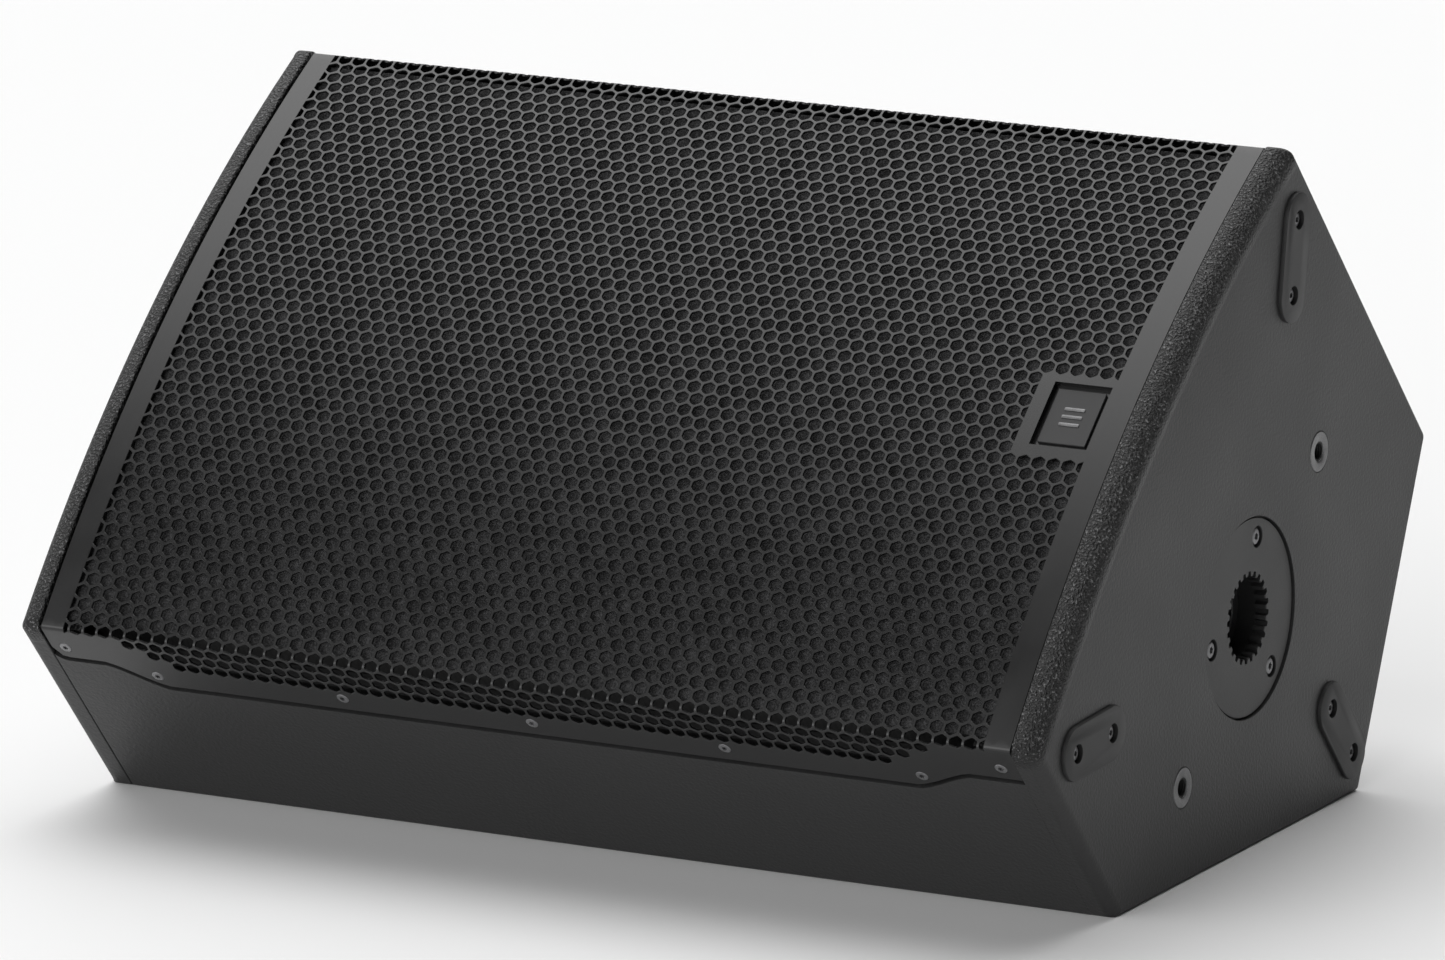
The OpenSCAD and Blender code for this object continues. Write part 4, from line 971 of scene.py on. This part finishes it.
def open_window(bm, x, s, half_x, half_s):
    """Takes a rectangle out of both skins and returns the edge of each, in order round its middle."""
    low = (x - half_x - WINDOW_REACH, s - half_s - WINDOW_REACH)
    high = (x + half_x + WINDOW_REACH, s + half_s + WINDOW_REACH)
    slice_sheet(bm, low, high, (x - half_x, x + half_x), 0)
    slice_sheet(bm, low, high, (s - half_s, s + half_s), 1)

    def past_edge(point):
        return max(abs(point.x - x) - half_x, abs(point.y - s) - half_s)

    gone = [f for f in bm.faces if past_edge(f.calc_center_median()) < 0]
    bmesh.ops.delete(bm, geom=gone, context="FACES")
    rings = []
    for level in (0, -GRILLE_T):
        found = [v for v in bm.verts if abs(v.co.z - level) < LEVEL_TOL and v.link_faces
                 and abs(past_edge(v.co)) < EDGE_TOL]
        rings.append(sorted(found, key=lambda v: math.atan2(v.co.y - s, v.co.x - x)))
    return rings


def fill_round(bm, ring, x, s, level):
    """Fills between a rectangle's edge and a screw's hole, and returns the hole's edge."""
    turns = [-math.pi + 2 * math.pi * (i + 0.5) / SCREW_HOLE_SIDES for i in range(SCREW_HOLE_SIDES)]
    circle = [bm.verts.new((x + SCREW_HOLE_R * math.cos(t), s + SCREW_HOLE_R * math.sin(t), level))
              for t in turns]
    ring_turns = [math.atan2(v.co.y - s, v.co.x - x) for v in ring]
    for corners in zipped(ring, ring_turns, circle, turns):
        bm.faces.new(corners)
    return circle


def close_edges(bm):
    """Walls between the two skins wherever either is open."""
    def key(v):
        return round(v.co.x * 50), round(v.co.y * 50)

    under = {key(v): v for v in bm.verts if abs(v.co.z + GRILLE_T) < LEVEL_TOL}
    walls = []
    for edge in bm.edges:
        a, b = edge.verts
        if edge.is_boundary and abs(a.co.z) < LEVEL_TOL and abs(b.co.z) < LEVEL_TOL:
            low_a, low_b = under.get(key(a)), under.get(key(b))
            if low_a and low_b:
                walls.append((a, b, low_b, low_a))
    for corners in walls:
        try:
            bm.faces.new(corners)
        except ValueError:
            continue


def fold_lines():
    ends = PATH["ends"]
    lines = []
    for first, last in ((ends[0], ends[1]), (ends[2], ends[3])):
        lines.append([first + (last - first) * i / FOLD_STEPS for i in range(FOLD_STEPS + 1)])
    return lines


def round_flange_corners(bm):
    """Cuts the sheet into narrow strips at its left corners and moves their ends onto the curve."""
    first = GRILLE_X - FLANGE_CORNER
    far = up_to_length(FLANGE_END, lower=False)
    near = up_to_length(FLANGE_END)
    for i in range(FLANGE_CORNER_STEPS):
        line = [-first - FLANGE_CORNER * i / FLANGE_CORNER_STEPS]
        slice_sheet(bm, (-GRILLE_X - 5, near - 5), (5 - first, near + 2 * FLANGE_CORNER), line, 0)
        slice_sheet(bm, (-GRILLE_X - 5, far - 2 * FLANGE_CORNER), (5 - first, far + 5), line, 0)
    for v in bm.verts:
        if v.co.x < -first:
            v.co.x, v.co.y = keep_inside(v.co.x, v.co.y)


def make_grille():
    bm = flat_grille()
    round_flange_corners(bm)
    for lines in fold_lines():
        slice_sheet(bm, (-BODY_W, lines[0] - 8), (BODY_W, lines[-1] + 8), lines, 1)
    for x, up in SCREW_SITES:
        for lower in (True, False):
            s = up_to_length(up, lower)
            rings = open_window(bm, x, s, SCREW_WINDOW, SCREW_WINDOW)
            bridge(bm, *[fill_round(bm, ring, x, s, level) for ring, level in zip(rings, (0, -GRILLE_T))])
    open_window(bm, BADGE_X, BADGE_S, BADGE_HOLE[0] / 2, BADGE_HOLE[1] / 2)
    close_edges(bm)
    for v in bm.verts:
        p = on_path(v.co.y, -v.co.z)
        v.co = (v.co.x, p.x, p.y)
    make_object("grille_perforated", bm, "grille_steel", ["grille"], smooth=30)


BADGE_S = row_at(sum(BADGE_ROWS) / 2) + BADGE_SHIFT
make_grille()

# ---- Foam behind the grille ----
FOAM_TOP, FOAM_BACK = GRILLE_T + 2.3, GRILLE_T + 6.1
FOAM_END = 6.0
FOAM_HALF_X = GRILLE_X - 2
FOAM_GRID = (190, 130)
FOAM_ROUGH = 0.16
FOAM_DIP = (24.0, 27.0, 0.9)


def foam_bump(i, k):
    """A small uneven relief, the same at each run."""
    across = math.sin(i * 1.7 + 2.1 * math.sin(k * 0.9))
    return FOAM_ROUGH * across * math.sin(k * 1.3 + 1.4 * math.sin(i * 0.7))


def slab(point, grid_size, sides):
    """A closed mesh of two grids of points, given by column, row and side, joined round their edges."""
    columns, rows = grid_size
    bm = bmesh.new()
    borders = []
    for side in sides:
        grid = [[bm.verts.new(point(i, k, *side)) for i in range(columns + 1)] for k in range(rows + 1)]
        for low, high in zip(grid, grid[1:]):
            for i in range(columns):
                bm.faces.new((low[i], low[i + 1], high[i + 1], high[i]))
        right, left = [line[-1] for line in grid[:-1]], [line[0] for line in grid[:0:-1]]
        borders.append(grid[0][:-1] + right + grid[-1][:0:-1] + left)
    bridge(bm, *borders)
    return bm


def make_foam():
    columns, rows = FOAM_GRID
    first, last = PATH["ends"][1] + FOAM_END, PATH["ends"][2] - FOAM_END

    def point(i, k, base, rough):
        x = FOAM_HALF_X * (2 * i / columns - 1)
        s = first + (last - first) * k / rows
        pressed = abs(x - BADGE_X) < FOAM_DIP[0] and abs(s - BADGE_S) < FOAM_DIP[1]
        p = on_path(s, base + rough * (foam_bump(i, k) + (FOAM_DIP[2] if pressed else 0)))
        return x, p.x, p.y

    bm = slab(point, FOAM_GRID, ((FOAM_TOP, 1.0), (FOAM_BACK, 0.0)))
    foam = make_object("foam_sheet", bm, "foam", ["grille_foam"], smooth=60)


make_foam()

# ---- Badge ----
BADGE_W, BADGE_L = 28.4, 35.2
BADGE_TOP = 1.65
BADGE_BARS = (-5.0, 0.0, 5.0)
BAR_L, BAR_W = 12.0, 2.0


def badge_loop(width, height, radius, depth, steps=4, shift=0.0):
    """An oblong laid on the curved face at a depth below it."""
    loop = []
    for x, y, _ in oblong(width, height, radius, 0, steps):
        p = on_path(BADGE_S + y + shift, depth)
        loop.append((BADGE_X + x, p.x, p.y))
    return loop


def make_badge():
    w, h = BADGE_HOLE
    under = GRILLE_T + 0.05
    tray = skin([badge_loop(w + 2, h + 2, 0.6, BADGE_SINK + 0.8), badge_loop(w + 2, h + 2, 0.6, under),
                 badge_loop(w - 0.1, h - 0.1, 0.6, under), badge_loop(w - 0.2, h - 0.2, 0.6, BADGE_SINK)])
    make_object("badge_tray", tray, "grille_steel")
    w, h = BADGE_W, BADGE_L
    plate = skin([badge_loop(w, h, 0.8, BADGE_SINK), badge_loop(w, h, 0.8, BADGE_TOP + 0.3),
                  badge_loop(w - 0.6, h - 0.6, 0.6, BADGE_TOP)])
    make_object("badge_face", plate, "badge_metal", ["badge_plate"])
    bars = bmesh.new()
    for shift in BADGE_BARS:
        stack(bars, [badge_loop(BAR_L - less, BAR_W - less, 0.5, BADGE_TOP + depth, 3, shift)
                     for less, depth in ((0, 0.2), (0, -0.2), (0.4, -0.3))])
    make_object("badge_bars", bars, "insert_zinc")


make_badge()

# ---- Screws ----
STAR_LOBES, STAR_STEPS = 6, 48
STAR_MEAN, STAR_WAVE = 0.87, 0.13
STAR_FLOOR = 0.92


def star_tool(radius, top, depth):
    """The socket of a six-lobed screw, a little narrower at its floor."""
    loops = []
    for z, size in ((top - depth, STAR_FLOOR), (top + 1, 1.0)):
        loop = []
        for i in range(STAR_STEPS):
            turn = 2 * math.pi * i / STAR_STEPS
            r = size * radius * (STAR_MEAN + STAR_WAVE * math.cos(STAR_LOBES * turn))
            loop.append((r * math.cos(turn), r * math.sin(turn), z))
        loops.append(loop)
    return skin(loops)


def screw(profile, socket, top, depth):
    return cut(lathe(profile, 48), star_tool(socket, top, depth))


def place_screws(name, template, places, slot, replaced, smooth=35):
    bm = joined([(template, place) for place in places])
    template.free()
    make_object(name, bm, slot, [replaced], smooth=smooth)


def make_grille_screws():
    top = -FLANGE_SINK + 0.12
    profile = [(1.2, -13), (1.2, -2.4), (3.5, -0.62), (3.6, -0.4), (3.55, top - 0.1), (3.3, top + 0.06),
               (2.5, top + 0.1)]
    places = [ON_FRONT @ slid(x, up) for x, up in SCREW_SITES]
    places += [ON_UPPER_FLANGE @ slid(x, up, FLANGE_SINK - UPPER_SINK) for x, up in SCREW_SITES]
    template = screw(profile, 1.75, top, 1.3)
    place_screws("grille_screw_heads", template, places, "black_screws", "grille_screws")


make_grille_screws()

# ---- Right end: pole cup, inserts, feet ----
CUP_SCREWS = (75, 191, 311)
CUP_SCREW_R = 44.0
CUP_FACE = -1.3
CUP_MOUTH_R = 25.4
TEETH = 24
CUP_STEPS = 192
THREAD_PITCH = 1.5


def make_pole_cup():
    place = on_end(1, CUP_Y, CUP_Z)
    r = CUP_FLANGE_D / 2
    outside = [(21, -78), (21.8, -77), (21.8, -22), (37, -21), (37, -CUP_RECESS), (r, -CUP_RECESS),
               (r, CUP_FACE - 0.6), (r - 0.2, CUP_FACE - 0.2), (r - 0.5, CUP_FACE), (r - 1.1, CUP_FACE),
               (CUP_MOUTH_R + 1.2, CUP_FACE), (CUP_MOUTH_R + 0.4, CUP_FACE)]
    tips = [(23.0, CUP_FACE), (22.5, CUP_FACE - 0.5), (22.3, CUP_FACE - 7.0)]
    bore = [(25.0, CUP_FACE - 7.2), (25.0, -19.5), (18.9, -19.6), (18.3, -20.2), (18.25, -76)]
    loops = [ring_points(radius, z, CUP_STEPS) for radius, z in outside]
    loops += [ring_points(tip, z, CUP_STEPS, CUP_MOUTH_R, TEETH) for tip, z in tips]
    loops += [ring_points(radius, z, CUP_STEPS) for radius, z in bore]
    spots = [turned(turn) @ slid(CUP_SCREW_R) for turn in CUP_SCREWS]
    tools = [(lathe([(5.9, -3.7), (5.9, CUP_FACE - 0.3), (6.5, CUP_FACE + 0.4)], 48), spot) for spot in spots]
    bm = cut(skin(loops), joined(tools))
    make_object("pole_cup_casting", bm, "cup_casting", ["pole_cup"], place=place, smooth=30)
    profile = [(1.7, -12), (1.7, -3.6), (4.5, -3.6), (4.5, -2.9), (4.2, -2.3), (3.4, -2.0)]
    places = [place @ spot for spot in spots]
    place_screws("pole_cup_screw_heads", screw(profile, 2.3, -2.1, 1.2), places, "black_screws",
                 "pole_cup_screws")


make_pole_cup()


def make_inserts():
    r = INSERT_FLANGE_D / 2
    profile = [(7.7, -18), (7.8, -17.6), (7.8, -INSERT_RECESS), (r - 0.1, -INSERT_RECESS), (r - 0.1, -0.1),
               (r - 0.5, 0.2), (6.3, 0.2), (5.6, -0.2), (5.4, -0.6), (5.4, -17.9)]
    thread = [(5.35, -17.8), (5.35, -0.6)]
    z = -0.7
    while z > -16.5:
        thread += [(4.55, z), (5.05, z - THREAD_PITCH / 2)]
        z -= THREAD_PITCH
    thread.append((4.8, -17.7))
    places = [on_end(side, y, z) for side in (1, -1) for y, z in INSERT_SITES]
    place_screws("insert_flanges", lathe(profile), places, "insert_zinc", "rigging_inserts", smooth=30)
    threads = joined([(lathe(thread), place) for place in places])
    make_object("insert_threads", threads, "insert_zinc", finish="insert_thread")


make_inserts()


def make_feet():
    length = FOOT_PITCH + FOOT_W
    shape = [(0, 0.0), (0, FOOT_H - 0.6), (0.15, FOOT_H - 0.25), (0.6, FOOT_H)]
    rows = [(length - 2 * d, FOOT_W - 2 * d, FOOT_W / 2 - d - 0.01, z) for d, z in shape]
    reach = FOOT_PITCH / 2
    holes = [(disc_tool(FOOT_BORE_R, FOOT_H + 1, -1, 48), slid(x)) for x in (-reach, reach)]
    bm = cut(oblongs(rows, 14), joined(holes))
    place_screws("rubber_feet", bm, foot_places(), "foot_rubber", "end_feet", smooth=30)
    profile = [(1.6, -11), (1.6, -2.2), (4.3, -2.2), (4.3, -0.8), (3.8, 0.1), (2.8, 0.5)]
    place_screws("foot_screw_heads", screw(profile, 1.9, 0.4, 1.2), foot_screw_sites(), "black_screws",
                 "end_foot_screws")


make_feet()

# ---- Left end: carry handle ----
HANDLE_SIDES = 48
GRIP_R, GRIP_RIBS, GRIP_DIP = 11.0, 22, 0.55


def handle_grip():
    """A ribbed rubber bar along the cup, its highest line a millimetre below the end."""
    half = HANDLE_L / 2 - 3.2
    profile = [(GRIP_R - 0.4, -half), (GRIP_R - 0.4, -half + 5), (GRIP_R, -half + 6)]
    step = (2 * half - 16) / GRIP_RIBS
    for i in range(GRIP_RIBS):
        z = -half + 8 + (2 * half - 16) * i / GRIP_RIBS
        profile += [(GRIP_R, z), (GRIP_R - GRIP_DIP, z + step * 0.3), (GRIP_R, z + step * 0.6)]
    profile += [(GRIP_R, half - 6), (GRIP_R - 0.4, half - 5), (GRIP_R - 0.4, half)]
    turns = [2 * math.pi * i / HANDLE_SIDES for i in range(HANDLE_SIDES)]
    return skin([[(z, r * math.cos(t), r * math.sin(t) - GRIP_R - 1) for t in turns] for r, z in profile])


def make_handle():
    place = on_end(-1, HANDLE_Y, HANDLE_Z)
    w, h = HANDLE_L, HANDLE_H
    wide, high = w + 2 * HANDLE_RIM, h + 2 * HANDLE_RIM
    bm = oblongs([(w - 3, h - 3, 8, -46), (w - 0.6, h - 0.6, 9, -44), (w - 0.6, h - 0.6, 9, -3),
                  (wide, high, 9, -3), (wide, high, 9, -0.8), (wide - 0.6, high - 0.6, 8.7, -0.2),
                  (wide - 1.6, high - 1.6, 8.2, 0), (w - 1, h - 1, 8, 0), (w - 4, h - 4, 7, -0.7),
                  (w - 6, h - 6, 6.5, -2.6), (w - 6.6, h - 6.6, 6.5, -40), (w - 9, h - 9, 5.5, -42.4),
                  (w - 14, h - 14, 4, -43)])
    sites = [(x * (w / 2 + 6), y * (h / 2 + 6)) for x in (-1, 0, 1) for y in (-1, 1)]
    tools = [(lathe([(4.5, -1.9), (4.5, -0.3), (5.0, 0.3)], 40), slid(x, y)) for x, y in sites]
    make_object("handle_dish", cut(bm, joined(tools)), "plate_plastic", ["handle_cup"], place=place)
    make_object("handle_grip", handle_grip(), "handle_rubber", ["handle_bar"], place=place)
    profile = [(1.5, -12), (1.5, -1.9), (3.8, -1.9), (3.8, -1.0), (3.4, -0.5), (2.6, -0.25)]
    place_screws("handle_screw_heads", screw(profile, 1.9, -0.3, 1.1), [place @ slid(x, y) for x, y in sites],
                 "black_screws", "handle_screws")


make_handle()

# ---- Rear: input plate, sockets, mode switch ----
PLATE_DEPTH = 34.0
PLATE_FLOOR = -31.0
SOCKET_XS = (-42.0, 0.0)
SWITCH_X = 42.0
SWITCH_TRAVEL = 3.0


def make_input_plate():
    w, h = PLATE_W, PLATE_H
    in_w, in_h = w - PLATE_BORDER, h - PLATE_BORDER
    bm = oblongs([(in_w + 4, in_h + 4, 5, -PLATE_DEPTH), (in_w + 6, in_h + 6, 6, -PLATE_DEPTH + 1),
                  (in_w + 6, in_h + 6, 6, 0), (w, h, 6, 0), (w, h, 6, 1.4), (w - 0.7, h - 0.7, 5.7, 2.2),
                  (w - 2, h - 2, 5.2, 2.5), (in_w + 5, in_h + 5, 6, 2.5), (in_w + 1.6, in_h + 1.6, 5, 1.6),
                  (in_w, in_h, 4.5, 0), (in_w - 2, in_h - 2, 4, PLATE_FLOOR + 2),
                  (in_w - 6, in_h - 6, 3, PLATE_FLOOR)])
    high, low = PLATE_FLOOR + 5, -PLATE_DEPTH - 5
    tools = [(disc_tool(11.9, high, low), slid(x)) for x in SOCKET_XS]
    tools.append((box_tool(11, 7, high, low, 1), slid(SWITCH_X)))
    make_object("input_dish", cut(bm, joined(tools)), "plate_plastic", ["input_plate"], place=ON_PLATE)
    profile = [(1.2, -9.5), (1.2, 2.5), (3.6, 2.5), (3.6, 3.3), (3.2, 4.1), (2.4, 4.5)]
    places = [ON_PLATE @ slid(x * (w / 2 - 7), y * (h / 2 - 7)) for x in (-1, 0, 1) for y in (-1, 1)]
    place_screws("plate_screw_heads", screw(profile, 1.8, 4.4, 1.2), places, "black_screws",
                 "input_plate_screws")


def make_sockets():
    """Round sockets with two key slots, each with a centre post in a screwed flange."""
    bm = lathe([(11.6, -24), (11.85, -23.5), (11.85, 0), (12.9, 0), (12.9, 2.6), (12.4, 3.2), (10.6, 3.2),
                (10.25, 2.7), (10.25, -18), (4.5, -18), (4.5, 1.4), (4.1, 1.9), (1.2, 1.9), (1.2, -3)], 96)
    keys = [(box_tool(2.6, 3.8, 5, -14, 0.4), turned(turn) @ slid(10.6)) for turn in (45, 225)]
    bm = cut(bm, joined(keys))
    flange = oblongs([(26, 31, 3, 0), (26, 31, 3, 1.8), (25.2, 30.2, 2.6, 2.4)])
    flange = cut(flange, disc_tool(12.8, 5, -5, 96))
    ears = [(disc_tool(1.6, 5, 1.0, 24), slid(x * 10.6, y * 13)) for x, y in ((-1, 1), (1, -1))]
    flange = cut(flange, joined(ears))
    both = joined([(bm, Matrix.Identity(4)), (flange, Matrix.Identity(4))])
    places = [ON_PLATE @ slid(x, 0, PLATE_FLOOR) for x in SOCKET_XS]
    place_screws("socket_shells", both, places, "socket_plastic", "loop_sockets")


def make_switch():
    shell = oblongs([(22, 14, 1.2, -12), (22, 14, 1.2, -0.4), (21.4, 13.4, 1, 0)])
    shell = cut(shell, box_tool(9.4, 5.6, 3, -7, 0.4))
    make_object("switch_shell", shell, "plate_plastic", ["mode_switch_body"],
                place=ON_PLATE @ slid(SWITCH_X, 0, -PLATE_DEPTH))
    slider = oblongs([(6, 5, 0.6, -6.2), (6, 5, 0.6, -2.2), (3.4, 4.6, 0.5, -2.2), (3.4, 4.6, 0.5, 3.9),
                      (2.8, 4.0, 0.5, 4.4)])
    ribs = [(box_tool(0.5, 6, 6, 3.9, 0.1), slid(x)) for x in (-0.75, 0.75)]
    make_object("switch_slider", cut(slider, joined(ribs)), "switch_plastic", ["mode_switch_slider"],
                body="switch", place=ON_PLATE @ slid(SWITCH_X - SWITCH_TRAVEL / 2, 0, -PLATE_DEPTH))


make_input_plate()
make_sockets()
make_switch()

# ---- Wadding inside ----
WADDING_GRID = (60, 24)
WADDING_T, WADDING_LEN, WADDING_UP = 16.8, 90.0, 40.0
WADDING_W = INNER_X - 24.5
WADDING_PUFF = 0.7


def make_wadding():
    """A soft mat against the inside of the upper rear panel, uneven on its free side."""
    v = along(UPPER_ANGLE)
    n = inward(v)
    start = inset(3, PANEL_T + 0.6) - v * WADDING_UP
    columns, rows = WADDING_GRID

    def point(i, k, face):
        edge = min(i, columns - i, 3 * k, 3 * (rows - k)) / 6
        full = WADDING_T * min(1, 0.45 + 0.55 * edge)
        puff = WADDING_PUFF * math.sin(i * 0.9 + math.sin(k * 1.1)) * math.sin(k * 1.2 + math.sin(i * 0.6))
        p = start - v * (WADDING_LEN * k / rows) + n * (face * (full + puff * min(1, edge)))
        return 0.5 + WADDING_W * i / columns, p.x, p.y

    bm = slab(point, WADDING_GRID, ((0,), (1,)))
    mat = make_object("wadding_mat", bm, "wadding", ["damping_blanket"], smooth=60)


make_wadding()

# ---- Floor and light ----
FLOOR_SIZE = 30.0
FLOOR_COLOR = (0.86, 0.86, 0.86, 1)


def make_floor():
    bm = bmesh.new()
    half = FLOOR_SIZE / 2
    for x, y in ((-half, -half), (half, -half), (half, half), (-half, half)):
        bm.verts.new((x, y, 0))
    bm.faces.new(bm.verts)
    mesh = bpy.data.meshes.new("floor")
    bm.to_mesh(mesh)
    bm.free()
    floor = bpy.data.objects.new("floor", mesh)
    bpy.context.scene.collection.objects.link(floor)
    material = bpy.data.materials.new("pale_floor")
    material.use_nodes = True
    shader = material.node_tree.nodes["Principled BSDF"]
    shader.inputs["Base Color"].default_value = FLOOR_COLOR
    shader.inputs["Roughness"].default_value = 0.7
    shader.inputs["Specular IOR Level"].default_value = 0.2
    mesh.materials.append(material)


SKY_TOWARD = (-0.35, 0.45, 0.86)
SKY_RANGE = (0.62, 0.97)
SKY_LEVELS = (0.05, 2.75)
GLOW_TOWARD = (-0.25, -0.90, 0.34)
GLOW_RANGE = (0.72, 0.97)
GLOW_LEVELS = (0.0, 2.5)


def patch_of_sky(world, toward, span, levels):
    """A round patch of light about a direction, fading out with no edge."""
    where = add_node(world, "TexCoord").outputs["Generated"]
    inputs = {0: where, 1: Vector(toward).normalized()}
    facing = add_node(world, "VectorMath", inputs, operation="DOT_PRODUCT").outputs["Value"]
    inputs = {"Value": facing, "From Min": span[0], "From Max": span[1], "To Min": levels[0],
              "To Max": levels[1]}
    return add_node(world, "MapRange", inputs, interpolation_type="SMOOTHSTEP").outputs["Result"]


def make_world():
    """Bright above and behind, a lower glow in front, dark between."""
    world = bpy.data.worlds.new("studio")
    world.use_nodes = True
    background = world.node_tree.nodes["Background"]
    sky = patch_of_sky(world, SKY_TOWARD, SKY_RANGE, SKY_LEVELS)
    glow = patch_of_sky(world, GLOW_TOWARD, GLOW_RANGE, GLOW_LEVELS)
    both = add_node(world, "Math", {0: sky, 1: glow}, operation="ADD")
    background.inputs["Color"].default_value = (1, 1, 1, 1)
    world.node_tree.links.new(both.outputs["Value"], background.inputs["Strength"])
    bpy.context.scene.world = world


make_floor()
make_world()
bpy.context.scene.view_settings.view_transform = "Standard"
